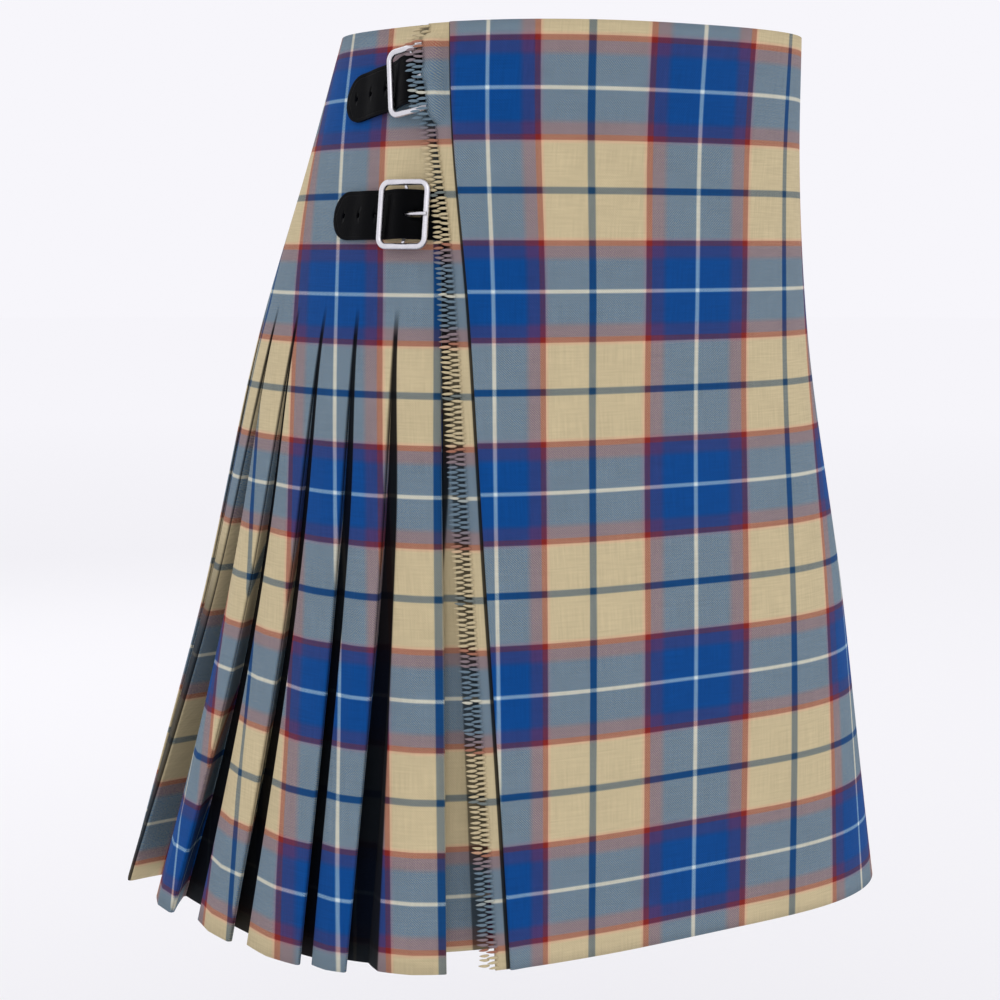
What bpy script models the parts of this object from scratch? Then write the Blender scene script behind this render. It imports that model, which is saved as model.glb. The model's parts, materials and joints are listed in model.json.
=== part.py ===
"""A Scottish kilt in its worn, hollow form.

Metres, +Z up. The origin is the centre of the waist, level with the kilt's top edge.
The front faces -Y, so the wearer's right is -X.

A place on the cloth is given by three numbers:
  arc    distance round the form from the centre front, positive towards the wearer's left
  drop   share of the length below the top edge, 0 at the waist and 1 at the hem
  level  distance out from the form, measured square to it
"""

import math

import bmesh
import bpy
import numpy as np
from mathutils import Matrix, Vector

# ---- Form of the body of the kilt ------------------------------------------------
LENGTH = 0.610
STATIONS = (0.0, 0.14, 0.32, 0.66, 1.0)
HALF_WIDTH = (0.154, 0.169, 0.189, 0.224, 0.262)
HALF_DEPTH = (0.143, 0.147, 0.161, 0.190, 0.222)
BACK_SHIFT = (0.0, 0.020, 0.043, 0.058, 0.087)
SQUARENESS_WAIST = 2.5
SQUARENESS_HEM = 3.3

# ---- Cloth and its layers --------------------------------------------------------
CLOTH = 0.0014
SEAM = 0.0003
STRAP_ROOM = 0.0037
STRIP_LEVEL = -(CLOTH + SEAM)
UNDER_LEVEL = STRIP_LEVEL - CLOTH - STRAP_ROOM
FELL = 0.30

# ---- Edges of the aprons, as arcs at the waist, the fell and the hem ----------------
EDGE_DROPS = (0.0, FELL, 0.65, 1.0)
APRON_EDGE = (-0.175, -0.1490, -0.1470, -0.1385)
LEFT_SEAM = (0.235, 0.270, 0.335, 0.400)
UNDER_LEFT_EDGE = (0.215, 0.235, 0.270, 0.300)
STRIP_SHOWS = 0.0100
STRIP_TUCK = 0.0160
FRINGE_REACH = 0.0110
FRINGE_THICKNESS = 0.0010
UNDER_APRON_RECESS = 0.0120
UNDER_APRON_TUCK = 0.0120
UNDER_APRON_SHORT = 0.0090
UNDER_TUCK_FROM, UNDER_TUCK_OVER = 0.14, 0.60  # how far open the pleats are as it tucks under
UNDER_FINE_WIDTH = 0.050
NOTCH_HALF_HEIGHT = 0.030
NOTCH_FADE = 0.012
NOTCH_SHARE = 0.88

# ---- Knife pleats ------------------------------------------------------------------
PLEATS = 21
FIRST_FOLD = (-0.183, -0.171, -0.1785, -0.182)
SPREAD_PITCH = (0.068, 0.036, 0.074, 0.086, 0.096)
SPREAD_GAP = (0.022, 0.008, 0.014, 0.027, 0.050)
SPREAD_DEPTH = (0.026, 0.020, 0.022, 0.028, 0.032)
HIDDEN_GAP_SHARE = 0.30
HIDDEN_DEPTH = 0.021
HIDDEN_WAVER = 0.07
FOLD_STEP = 0.0026
FOLD_LIP = 0.0015
TUCK_SHARE = 0.36
LEVEL_RAMP = 0.130
LEVEL_EASED = 0.75
LEAST_GAP = 0.0030
FOLD_TUCK = 0.0002
# Levels along a pleat's face and floor, as shares of its depth below the fold edge.
FACE_SAG, SHOULDER_SAG, FLOOR_SAG = 0.05, 0.30, 0.95
FLOOR_PLACE = 0.40  # where the floor is deepest, as a share of the gap
LAST_FACE_SAG = 0.0005
GAP_GROWTH = 0.75  # below 1, the gaps open fastest just under the fell

# ---- Straps and buckles --------------------------------------------------------------
STRAP_WIDTH = 0.032
STRAP_THICKNESS = 0.0024
STRAP_TIP = 0.072
HOLE_RADIUS = 0.0021
HOLE_PITCH = 0.0165
BUCKLE_WIDTH = 0.040
BUCKLE_HEIGHT = 0.046
BUCKLE_CORNER = 0.0060
WIRE_RADIUS = 0.0021
BAR_RADIUS = 0.0012
BAR_HEIGHT = 0.0049
FRAME_HEIGHT = 0.0074
PRONG_RADIUS = 0.0009
PRONG_LOOP = 0.00245
TAB_THICKNESS = 0.0010
TAB_WIDTH = 0.026
TAB_LENGTH = 0.034
TAB_LOOP = BAR_RADIUS + SEAM + TAB_THICKNESS / 2
TAB_SLOT = (0.0110, 0.0062, 0.0110)
TAB_SLOT_CENTRE = (0.0004, 0.0, 0.0060)
TAB_FLAT_TO = -0.0100
LAST_HOLE = -0.027525
HOLE_DEPTH = 0.012
PRONG_HOLE_ALONG, PRONG_HOLE_HEIGHT = 0.0085, 0.0080
PRONG_HOLE = (0.0150, 0.0040, 0.0120)
BAR_RUN_IN = 0.0040
BAR_SINK = 0.0006
SLIT_ROOM = 0.0040
SLIT_DEPTH = 0.0200


def clear_scene():
    for obj in list(bpy.data.objects):
        bpy.data.objects.remove(obj, do_unlink=True)


def make_collection(name, hidden=False):
    collection = bpy.data.collections.new(name)
    collection.hide_render = hidden
    bpy.context.scene.collection.children.link(collection)
    return collection


def make_material(name, colour, roughness, metallic=0.0):
    material = bpy.data.materials.new(name)
    material.use_nodes = True
    shader = material.node_tree.nodes["Principled BSDF"]
    shader.inputs["Base Color"].default_value = (*colour, 1.0)
    shader.inputs["Roughness"].default_value = roughness
    shader.inputs["Metallic"].default_value = metallic
    material.diffuse_color = (*colour, 1.0)
    return material


# ---- The form -------------------------------------------------------------------------


def smooth(share):
    """0 to 1 with level ends."""
    share = np.clip(share, 0.0, 1.0)
    return share * share * (3.0 - 2.0 * share)


def between(knots, values, at):
    """A smooth curve through the values given at the knots."""
    knots = np.asarray(knots, float)
    values = np.asarray(values, float)
    slopes = np.gradient(values, knots)
    i = min(max(int(np.searchsorted(knots, at)) - 1, 0), len(knots) - 2)
    span = knots[i + 1] - knots[i]
    u = (at - knots[i]) / span
    return (
        (2 * u**3 - 3 * u**2 + 1) * values[i]
        + (u**3 - 2 * u**2 + u) * span * slopes[i]
        + (3 * u**2 - 2 * u**3) * values[i + 1]
        + (u**3 - u**2) * span * slopes[i + 1]
    )


def ring(drop):
    """The level section of the form: its points, and the arc at each from the centre front."""
    turn = np.radians(np.arange(-360.0, 181.0, 1.0))
    half_width = between(STATIONS, HALF_WIDTH, drop)
    half_depth = between(STATIONS, HALF_DEPTH, drop)
    power = SQUARENESS_WAIST + (SQUARENESS_HEM - SQUARENESS_WAIST) * drop
    across = np.abs(np.sin(turn) / half_width) ** power
    through = np.abs(np.cos(turn) / half_depth) ** power
    reach = (across + through) ** (-1.0 / power)
    x = reach * np.sin(turn)
    y = between(STATIONS, BACK_SHIFT, drop) - reach * np.cos(turn)
    arc = np.concatenate([[0.0], np.cumsum(np.hypot(np.diff(x), np.diff(y)))])
    return x, y, arc - arc[360]


def girth(drop):
    arc = ring(drop)[2]
    return -arc[0]


def skin(arcs, drop, levels):
    """Points of the form at one drop, each moved out by its level."""
    x, y, arc = ring(drop)
    arcs = np.asarray(arcs, float)
    step = 0.002
    ahead = np.stack([np.interp(arcs + step, arc, x), np.interp(arcs + step, arc, y)], 1)
    behind = np.stack([np.interp(arcs - step, arc, x), np.interp(arcs - step, arc, y)], 1)
    tangent = ahead - behind
    tangent /= np.linalg.norm(tangent, axis=1)[:, None]
    level = np.broadcast_to(levels, arcs.shape)
    points = np.stack([np.interp(arcs, arc, x), np.interp(arcs, arc, y)], 1)
    points[:, 0] += tangent[:, 1] * level
    points[:, 1] -= tangent[:, 0] * level
    return np.column_stack([points, np.full(len(arcs), -LENGTH * drop)])


def edge_at(values, drop):
    return between(EDGE_DROPS, values, drop)


# ---- Making objects ---------------------------------------------------------------------


def link(obj, collection, material=None):
    for other in list(obj.users_collection):
        other.objects.unlink(obj)
    collection.objects.link(obj)
    if material is not None:
        obj.data.materials.clear()
        obj.data.materials.append(material)
    return obj


def loft(name, rows, collection, material, thickness, outer_face_given):
    """Cloth through rows of points, each row running the same way; Solidify gives the wall."""
    columns = len(rows[0])
    mesh = bmesh.new()
    grid = [[mesh.verts.new(point) for point in row] for row in rows]
    for upper, lower in zip(grid, grid[1:]):
        for i in range(columns - 1):
            mesh.faces.new((upper[i], lower[i], lower[i + 1], upper[i + 1]))
    data = bpy.data.meshes.new(name)
    mesh.normal_update()
    mesh.to_mesh(data)
    mesh.free()
    obj = link(bpy.data.objects.new(name, data), collection, material)
    wall = obj.modifiers.new("wall", "SOLIDIFY")
    wall.thickness = thickness
    wall.offset = -1.0 if outer_face_given else 0.0
    wall.use_even_offset = True
    return obj


def as_mesh(obj, collection, material=None):
    """The object's evaluated shape as a mesh object of its own, welded."""
    bpy.context.view_layer.update()
    evaluated = obj.evaluated_get(bpy.context.evaluated_depsgraph_get())
    data = bpy.data.meshes.new_from_object(evaluated)
    mesh = bmesh.new()
    mesh.from_mesh(data)
    bmesh.ops.remove_doubles(mesh, verts=mesh.verts, dist=1e-6)
    bmesh.ops.recalc_face_normals(mesh, faces=mesh.faces)
    mesh.to_mesh(data)
    mesh.free()
    name = obj.name
    made = bpy.data.objects.new(name, data)
    made.matrix_world = obj.matrix_world.copy()
    bpy.data.objects.remove(obj, do_unlink=True)
    made.name = name
    return link(made, collection, material)


def wire(name, points, radius, collection, material, closed=False, sides=2):
    data = bpy.data.curves.new(name, "CURVE")
    data.dimensions = "3D"
    data.bevel_depth = radius
    data.bevel_resolution = sides
    data.use_fill_caps = not closed
    spline = data.splines.new("POLY")
    spline.points.add(len(points) - 1)
    for spot, point in zip(spline.points, points):
        spot.co = (*point, 1.0)
    spline.use_cyclic_u = closed
    obj = bpy.data.objects.new(name, data)
    return link(obj, collection, material)


def boolean(obj, other, operation):
    cut = obj.modifiers.new(operation.lower(), "BOOLEAN")
    cut.operation = operation
    cut.solver = "EXACT"
    cut.object = other


def make_cutter(name, size, place, cutters):
    bpy.ops.mesh.primitive_cube_add(size=1.0)
    box = bpy.context.object
    box.name = name
    box.data.transform(Matrix.Diagonal((*size, 1.0)))
    box.matrix_world = place
    return hide_cutter(box, cutters)


def make_round_cutter(name, radius, depth, place, cutters):
    bpy.ops.mesh.primitive_cylinder_add(vertices=12, radius=radius, depth=depth)
    drill = bpy.context.object
    drill.name = name
    drill.matrix_world = place
    return hide_cutter(drill, cutters)


def hide_cutter(obj, cutters):
    link(obj, cutters)
    obj.hide_render = True
    obj.display_type = "WIRE"
    return obj


# ---- Aprons and fringe --------------------------------------------------------------------

PLEAT_DROPS = (0.0, 0.10, 0.20, 0.27, FELL, 0.34, 0.40, 0.50, 0.62, 0.74, 0.87, 1.0)
APRON_DROPS = (0.0, 0.08, 0.16, 0.24, 0.32, 0.42, 0.54, 0.66, 0.78, 0.89, 1.0)
NOTCH_DROPS = {0.03, 0.12, 0.14}
APRON_STEP = 0.008
APRON_COLUMNS = 26


def apron_arcs(drop):
    """Even columns from the folded edge to the left seam, closer together over the strip."""
    edge = edge_at(APRON_EDGE, drop)
    near = edge + np.array([0.0, APRON_STEP, STRIP_TUCK])
    far = np.linspace(edge + STRIP_TUCK, edge_at(LEFT_SEAM, drop) - SEAM, APRON_COLUMNS)
    return np.concatenate([near, far[1:]])


def make_outer_apron(collection, tartan):
    rows = [skin(apron_arcs(drop), drop, 0.0) for drop in APRON_DROPS]
    return loft("outer_apron", rows, collection, tartan, CLOTH, True)


def make_fringe_strip(collection, tartan):
    """The strip under the folded edge. It shares the apron's own columns where it is tucked."""
    offsets = np.array([-STRIP_SHOWS, -STRIP_SHOWS / 2, 0.0, APRON_STEP, STRIP_TUCK])
    rows = [
        skin(edge_at(APRON_EDGE, drop) + offsets, drop, STRIP_LEVEL) for drop in APRON_DROPS
    ]
    return loft("fringe_strip", rows, collection, tartan, CLOTH, True)


def fringe_reach(drop):
    """The fringe lies on the upper buckle, so its solid is notched where the frame comes."""
    away = abs(drop * LENGTH - RIGHT_WAIST["depth"])
    notch = 1.0 - smooth((away - NOTCH_HALF_HEIGHT) / NOTCH_FADE)
    return FRINGE_REACH * (1.0 - NOTCH_SHARE * notch)


def make_fringe(collection, tartan):
    rows = []
    for drop in sorted(set(APRON_DROPS) | NOTCH_DROPS):
        inner = edge_at(APRON_EDGE, drop) - STRIP_SHOWS - SEAM
        arcs = inner + np.array([-1.0, -0.5, 0.0]) * fringe_reach(drop)
        rows.append(skin(arcs, drop, STRIP_LEVEL))
    return loft("fringe", rows, collection, tartan, FRINGE_THICKNESS, True)


def opening(drop):
    """How far the pleats have opened: 0 at the fell and above, 1 at the hem."""
    return max(0.0, (drop - FELL) / (1.0 - FELL))


def make_under_apron(collection, tartan):
    rows = []
    for drop in PLEAT_DROPS[:-1] + (1.0 - UNDER_APRON_SHORT / LENGTH,):
        opened = opening(drop)
        tuck = UNDER_APRON_TUCK * smooth((opened - UNDER_TUCK_FROM) / UNDER_TUCK_OVER)
        right = edge_at(FIRST_FOLD, drop) + FOLD_LIP + SEAM - tuck
        left = edge_at(UNDER_LEFT_EDGE, drop)
        level = UNDER_LEVEL - UNDER_APRON_RECESS * opened
        fine = np.linspace(right, right + UNDER_FINE_WIDTH, 6)
        coarse = np.linspace(right + UNDER_FINE_WIDTH, left, 16)
        arcs = np.concatenate([fine, coarse[1:]])
        rows.append(skin(arcs, drop, level))
    return loft("under_apron", rows, collection, tartan, CLOTH, True)


# ---- The pleated back -----------------------------------------------------------------------


def hem_spacing():
    """Distances between neighbouring folds at the hem, from the wearer's right round the back."""
    spread = sum(SPREAD_PITCH)
    end = girth(1.0) - LEFT_SEAM[-1] + FIRST_FOLD[-1]
    count = PLEATS - len(SPREAD_PITCH)
    even = (end - spread) / count
    hidden = [even * (1.0 + HIDDEN_WAVER * math.sin(2.4 * k)) for k in range(count)]
    hidden = [value * (end - spread) / sum(hidden) for value in hidden]
    return list(SPREAD_PITCH) + hidden


def fold_arcs(drop):
    """Arcs of the fold edges and, last, of the left seam."""
    right = edge_at(FIRST_FOLD, drop)
    seam = SEAM / 2 - (girth(drop) - edge_at(LEFT_SEAM, drop))
    even = right + (seam - right) * np.arange(PLEATS + 1) / PLEATS
    opened = opening(drop)
    shares = np.concatenate([[0.0], np.cumsum(hem_spacing())])
    spread = right + (seam - right) * shares / shares[-1]
    return even + (spread - even) * opened


def back_level(arc, drop):
    """Outer face of the pleated back: low beside the fringe, level with the form further round."""
    share = smooth((edge_at(FIRST_FOLD, drop) - arc) / LEVEL_RAMP)
    return UNDER_LEVEL * (1.0 - share) * (1.0 - LEVEL_EASED * opening(drop))


def gap_at(k, pitch):
    return SPREAD_GAP[k] if k < len(SPREAD_GAP) else HIDDEN_GAP_SHARE * pitch


def depth_at(k):
    return SPREAD_DEPTH[k] if k < len(SPREAD_DEPTH) else HIDDEN_DEPTH


def pleat_section(drop):
    """One level section: (arc, level) of the cloth's middle, from the first fold to the left seam.

    Each pleat's face rises to its fold edge, turns back underneath for a short way, turns again
    and comes out as the floor of the gap beside the next pleat. At the fell the same points lie
    in a row on the plain stitched wall."""
    folds = fold_arcs(drop)
    opened = opening(drop)
    amount = smooth(opened / 0.9) * 0.4 + opened * 0.6
    gap_open = opened**GAP_GROWTH
    section = []

    def put(plain_arc, folded_arc, folded_level):
        arc = plain_arc + (folded_arc - plain_arc) * amount
        base = back_level(arc, drop) - CLOTH / 2
        section.append((arc, base + folded_level * amount))

    first = folds[0]
    put(first + FOLD_LIP, first + FOLD_TUCK, -FOLD_STEP)
    put(first, first, 0.0)
    for k in range(PLEATS):
        fold, after = folds[k], folds[k + 1]
        if k == PLEATS - 1:
            put((fold + after) / 2, (fold + after) / 2, -LAST_FACE_SAG)
            put(after, after, 0.0)
            break
        gap = gap_at(k, fold - after) * (gap_open if k < len(SPREAD_GAP) else opened)
        depth = depth_at(k)
        tuck = TUCK_SHARE * (after - folds[k + 2])
        shoulder = after + max(gap, LEAST_GAP)
        row = after + FOLD_STEP * np.arange(6)
        middle = (shoulder + fold) / 2
        put((row[5] + fold) / 2, middle, -FACE_SAG * depth)
        put(row[5], shoulder, -SHOULDER_SAG * depth)
        put(row[4], after + FLOOR_PLACE * gap, -FLOOR_SAG * depth)
        put(row[3], after - tuck, -depth)
        put(row[2], after - tuck, -depth + FOLD_STEP)
        put(row[1], after + FOLD_TUCK, -FOLD_STEP)
        put(row[0], after, 0.0)
    return np.array(section)


def make_pleated_back(collection, cutters, tartan):
    rows = []
    for drop in PLEAT_DROPS:
        section = pleat_section(drop)[::-1]
        rows.append(skin(section[:, 0], drop, section[:, 1]))
    back = loft("pleated_back", rows, collection, tartan, CLOTH, False)
    boolean(back, make_slit_cutter(cutters), "DIFFERENCE")
    return back


# ---- Fastenings -------------------------------------------------------------------------------
# Each has its buckle's middle bar at "arc" and "depth" below the top edge. The strap comes from
# the +x side of the buckle: "side" is 1 where that is towards +arc, and -1 where it is -arc.

RIGHT_WAIST = {"name": "right_waist", "arc": -0.2025, "depth": 0.0365, "tilt": 9.0, "side": 1}
RIGHT_HIP = {"name": "right_hip", "arc": -0.1970, "depth": 0.1235, "tilt": 0.0, "side": 1}
LEFT_WAIST = {"name": "left_waist", "arc": 0.300, "depth": 0.0385, "tilt": 0.0, "side": -1}
FASTENINGS = (RIGHT_WAIST, RIGHT_HIP, LEFT_WAIST)

# Height of the middle of each strap above the cloth it lies on, along its length from the buckle.
STRAP_RISE = (
    (-STRAP_TIP, 0.0016),
    (-0.0500, 0.0016),
    (-0.0380, 0.0031),
    (-0.0220, 0.0033),
    (-0.0160, 0.0042),
    (-0.0090, 0.0076),
    (-0.0040, 0.0094),
    (0.0000, 0.0098),
    (0.0040, 0.0094),
    (0.0090, 0.0074),
    (0.0145, 0.0038),
    (0.0175, 0.0020),
    (0.0200, 0.0015),
    (0.0310, 0.0015),
)
RIGHT_ROOT = ((0.0400, 0.0015), (0.0480, 0.0015))
LEFT_ROOT = (
    (0.0380, 0.0016),
    (0.0440, -0.0005),
    (0.0500, -0.0032),
    (0.0560, -0.0048),
    (0.0640, -0.0048),
    (0.0720, -0.0048),
    (0.0800, -0.0048),
    (0.0880, -0.0048),
    (0.0960, -0.0048),
    (0.1040, -0.0048),
)
SLIT_FROM, SLIT_TO = 0.0385, 0.0545


def panel_level(fastening, arc, drop):
    return 0.0 if fastening["side"] < 0 else float(back_level(arc, drop))


def panel_point(fastening, along, up):
    """A point of the cloth by the buckle: along the strap and up the kilt."""
    tilt = math.radians(fastening["tilt"])
    right = along * math.cos(tilt) - up * math.sin(tilt)
    above = along * math.sin(tilt) + up * math.cos(tilt)
    arc = fastening["arc"] + fastening["side"] * right
    drop = (fastening["depth"] - above) / LENGTH
    return Vector(skin([arc], drop, panel_level(fastening, arc, drop))[0])


def panel_normal(fastening, along, up):
    step = 0.003
    x = panel_point(fastening, along + step, up) - panel_point(fastening, along - step, up)
    y = panel_point(fastening, along, up + step) - panel_point(fastening, along, up - step)
    return x.cross(y).normalized() * fastening["side"]


def on_panel(fastening, along, up, height):
    """A point at a height square to the cloth by the buckle."""
    return panel_point(fastening, along, up) + panel_normal(fastening, along, up) * height


def placed(origin, x, z):
    """A matrix with its x axis along x and its z axis as near to z as that allows."""
    x = x.normalized()
    y = z.cross(x).normalized()
    z = x.cross(y)
    return Matrix.Translation(origin) @ Matrix((x, y, z)).transposed().to_4x4()


def buckle_frame(fastening):
    """The rigid frame of a buckle: x along the strap and z out from the cloth."""
    origin = panel_point(fastening, 0.0, 0.0)
    ahead = panel_point(fastening, 0.004, 0.0) - panel_point(fastening, -0.004, 0.0)
    return placed(origin, ahead, panel_normal(fastening, 0.0, 0.0))


def cutter_place(fastening, along, height):
    """The frame of a cutter that follows the curve of the cloth."""
    origin = on_panel(fastening, along, 0.0, height)
    ahead = on_panel(fastening, along + 0.002, 0.0, height) - origin
    return placed(origin, ahead, panel_normal(fastening, along, 0.0))


def strap_half_width(along):
    """Half the strap's width, rounded off in a half circle at the tip."""
    radius = STRAP_WIDTH / 2
    past = STRAP_TIP - radius + along
    if past >= 0.0:
        return radius
    return math.sqrt(max(radius**2 - past**2, 0.0))


def strap_stations(rise):
    """Places along the strap: close together round the tip, then those of the rise."""
    radius = STRAP_WIDTH / 2
    tip = [radius * (1.0 - math.cos(math.radians(turn))) - STRAP_TIP for turn in (14, 32, 50, 70, 90)]
    return tip + [along for along, _ in rise if along > tip[-1] + 0.001]


def make_strap(fastening, collection, cutters, leather):
    name = fastening["name"]
    rise = STRAP_RISE + (LEFT_ROOT if fastening["side"] < 0 else RIGHT_ROOT)
    places = [along for along, _ in rise]
    heights = [height for _, height in rise]
    rows = []
    for along in strap_stations(rise):
        half = strap_half_width(along)
        height = float(np.interp(along, places, heights))
        sides = np.linspace(half, -half, 3) * fastening["side"]
        rows.append([on_panel(fastening, along, up, height) for up in sides])
    strap = loft(f"strap_{name}", rows, collection, leather, STRAP_THICKNESS, False)
    for hole in range(3):
        along = LAST_HOLE - HOLE_PITCH * hole
        place = cutter_place(fastening, along, STRAP_THICKNESS)
        drill = make_round_cutter(f"hole_{name}_{hole}", HOLE_RADIUS, HOLE_DEPTH, place, cutters)
        boolean(strap, drill, "DIFFERENCE")
    place = cutter_place(fastening, PRONG_HOLE_ALONG, PRONG_HOLE_HEIGHT)
    slot = make_cutter(f"prong_hole_{name}", PRONG_HOLE, place, cutters)
    boolean(strap, slot, "DIFFERENCE")
    return strap


def rounded_rectangle(width, height, corner, steps=4):
    points = []
    for quarter, (sx, sy) in enumerate(((1, 1), (-1, 1), (-1, -1), (1, -1))):
        centre_x = sx * (width / 2 - corner)
        centre_y = sy * (height / 2 - corner)
        for step in range(steps + 1):
            turn = math.radians(90 * quarter + 90 * step / steps)
            points.append((centre_x + corner * math.cos(turn), centre_y + corner * math.sin(turn)))
    return points


def make_buckle(fastening, collection, cutters, metal):
    name = fastening["name"]
    place = buckle_frame(fastening)
    outline = rounded_rectangle(
        BUCKLE_WIDTH - 2 * WIRE_RADIUS, BUCKLE_HEIGHT - 2 * WIRE_RADIUS, BUCKLE_CORNER - WIRE_RADIUS
    )
    points = [(x, y, FRAME_HEIGHT) for x, y in outline]
    frame = wire(f"buckle_{name}", points, WIRE_RADIUS, collection, metal, closed=True)
    frame.matrix_world = place
    frame = as_mesh(frame, collection, metal)
    reach = BUCKLE_HEIGHT / 2 - WIRE_RADIUS
    ends = [
        (0.0, -reach, FRAME_HEIGHT - BAR_SINK),
        (0.0, -reach + BAR_RUN_IN, BAR_HEIGHT),
        (0.0, reach - BAR_RUN_IN, BAR_HEIGHT),
        (0.0, reach, FRAME_HEIGHT - BAR_SINK),
    ]
    bar = wire(f"bar_{name}", ends, BAR_RADIUS, cutters, metal)
    bar.matrix_world = place
    bar = hide_cutter(as_mesh(bar, cutters), cutters)
    boolean(frame, bar, "UNION")
    return frame


def make_prong(fastening, collection, metal):
    """A wire looped round the middle bar, through the strap and on to the frame."""
    points = []
    for turn in range(-20, -281, -20):
        angle = math.radians(turn)
        points.append(
            (PRONG_LOOP * math.cos(angle), 0.0, BAR_HEIGHT + PRONG_LOOP * math.sin(angle))
        )
    rest = FRAME_HEIGHT + WIRE_RADIUS + PRONG_RADIUS + SEAM
    tip = BUCKLE_WIDTH / 2 - WIRE_RADIUS
    points += [
        (0.0050, 0.0, BAR_HEIGHT + PRONG_LOOP + 0.0006),
        (0.0110, 0.0, rest - 0.0012),
        (0.0155, 0.0, rest - 0.0001),
        (tip, 0.0, rest),
        (tip + 0.0022, 0.0, rest - 0.0003),
    ]
    prong = wire(f"prong_{fastening['name']}", points, PRONG_RADIUS, collection, metal)
    prong.matrix_world = buckle_frame(fastening)
    return as_mesh(prong, collection, metal)


def make_tab(fastening, collection, cutters, leather):
    """Leather sewn to the cloth, wrapped round the middle bar, with a slot for the prong."""
    path = [(-TAB_LENGTH, 0.0009), (-0.0220, 0.0009), (-0.0120, 0.0010), (-0.0055, 0.0014)]
    for turn in range(-110, 121, 23):
        angle = math.radians(turn)
        path.append((TAB_LOOP * math.cos(angle), BAR_HEIGHT + TAB_LOOP * math.sin(angle)))
    path += [(-0.0050, 0.0047), (-0.0085, 0.0027)]
    place = buckle_frame(fastening)
    rows = []
    for along, height in path:
        sides = np.linspace(TAB_WIDTH / 2, -TAB_WIDTH / 2, 3) * fastening["side"]
        if along < TAB_FLAT_TO:
            rows.append([on_panel(fastening, along, up, height) for up in sides])
        else:
            rows.append([place @ Vector((along, up, height)) for up in sides * fastening["side"]])
    tab = loft(f"tab_{fastening['name']}", rows, collection, leather, TAB_THICKNESS, False)
    spot = place @ Matrix.Translation(TAB_SLOT_CENTRE)
    slot = make_cutter(f"tab_slot_{fastening['name']}", TAB_SLOT, spot, cutters)
    boolean(tab, slot, "DIFFERENCE")
    return tab


def make_slit_cutter(cutters):
    """The slit in the pleated back that the left strap comes out through."""
    middle = (SLIT_FROM + SLIT_TO) / 2
    place = cutter_place(LEFT_WAIST, middle, 0.0)
    size = (SLIT_TO - SLIT_FROM, STRAP_WIDTH + SLIT_ROOM, SLIT_DEPTH)
    return make_cutter("left_slit", size, place, cutters)


def main():
    clear_scene()
    kilt = make_collection("kilt")
    cutters = make_collection("cutters", hidden=True)
    tartan = make_material("tartan_wool", (0.30, 0.33, 0.38), 0.85)
    leather = make_material("black_leather", (0.012, 0.012, 0.013), 0.45)
    metal = make_material("plated_metal", (0.75, 0.74, 0.75), 0.28, 1.0)
    make_outer_apron(kilt, tartan)
    make_fringe_strip(kilt, tartan)
    make_fringe(kilt, tartan)
    make_under_apron(kilt, tartan)
    make_pleated_back(kilt, cutters, tartan)
    for fastening in FASTENINGS:
        make_strap(fastening, kilt, cutters, leather)
        make_buckle(fastening, kilt, cutters, metal)
        make_prong(fastening, kilt, metal)
        make_tab(fastening, kilt, cutters, leather)


main()
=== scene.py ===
"""The looks of a Scottish kilt in its worn, hollow form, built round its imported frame.

Metres, +Z up. The origin is the centre of the waist, level with the kilt's top edge.
The front faces -Y, so the wearer's right is -X.

A place on the cloth is given by three numbers:
  arc    distance round the form from the centre front, positive towards the wearer's left
  drop   share of the length below the top edge, 0 at the waist and 1 at the hem
  level  distance out from the form, measured square to it
"""

import json
import math

import bmesh
import bpy
import numpy as np
from mathutils import Matrix, Vector

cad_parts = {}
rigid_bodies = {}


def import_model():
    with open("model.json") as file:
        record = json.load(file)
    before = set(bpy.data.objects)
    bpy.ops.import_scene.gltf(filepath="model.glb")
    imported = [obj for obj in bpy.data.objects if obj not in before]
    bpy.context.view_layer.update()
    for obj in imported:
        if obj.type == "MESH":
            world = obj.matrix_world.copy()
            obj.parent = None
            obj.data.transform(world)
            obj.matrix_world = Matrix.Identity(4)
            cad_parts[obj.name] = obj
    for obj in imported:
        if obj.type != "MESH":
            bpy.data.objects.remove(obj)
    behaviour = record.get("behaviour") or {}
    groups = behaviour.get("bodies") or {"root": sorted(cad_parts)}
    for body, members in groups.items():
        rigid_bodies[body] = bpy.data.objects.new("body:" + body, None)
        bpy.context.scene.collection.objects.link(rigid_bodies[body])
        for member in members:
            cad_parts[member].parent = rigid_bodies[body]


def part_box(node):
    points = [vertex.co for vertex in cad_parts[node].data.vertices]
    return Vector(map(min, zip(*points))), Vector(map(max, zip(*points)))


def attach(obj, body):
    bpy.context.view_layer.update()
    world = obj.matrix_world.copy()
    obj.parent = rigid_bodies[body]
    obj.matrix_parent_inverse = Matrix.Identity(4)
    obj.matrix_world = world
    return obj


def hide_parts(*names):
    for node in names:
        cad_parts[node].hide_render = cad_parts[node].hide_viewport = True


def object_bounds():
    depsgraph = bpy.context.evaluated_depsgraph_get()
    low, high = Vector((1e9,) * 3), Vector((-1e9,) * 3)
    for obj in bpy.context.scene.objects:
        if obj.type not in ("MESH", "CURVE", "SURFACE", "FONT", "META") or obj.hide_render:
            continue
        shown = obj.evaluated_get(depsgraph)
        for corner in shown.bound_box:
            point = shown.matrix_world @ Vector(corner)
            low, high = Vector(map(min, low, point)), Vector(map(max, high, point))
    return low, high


for startup_object in list(bpy.data.objects):
    bpy.data.objects.remove(startup_object, do_unlink=True)
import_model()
CAD_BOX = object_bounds()
BODY = "root"

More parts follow.
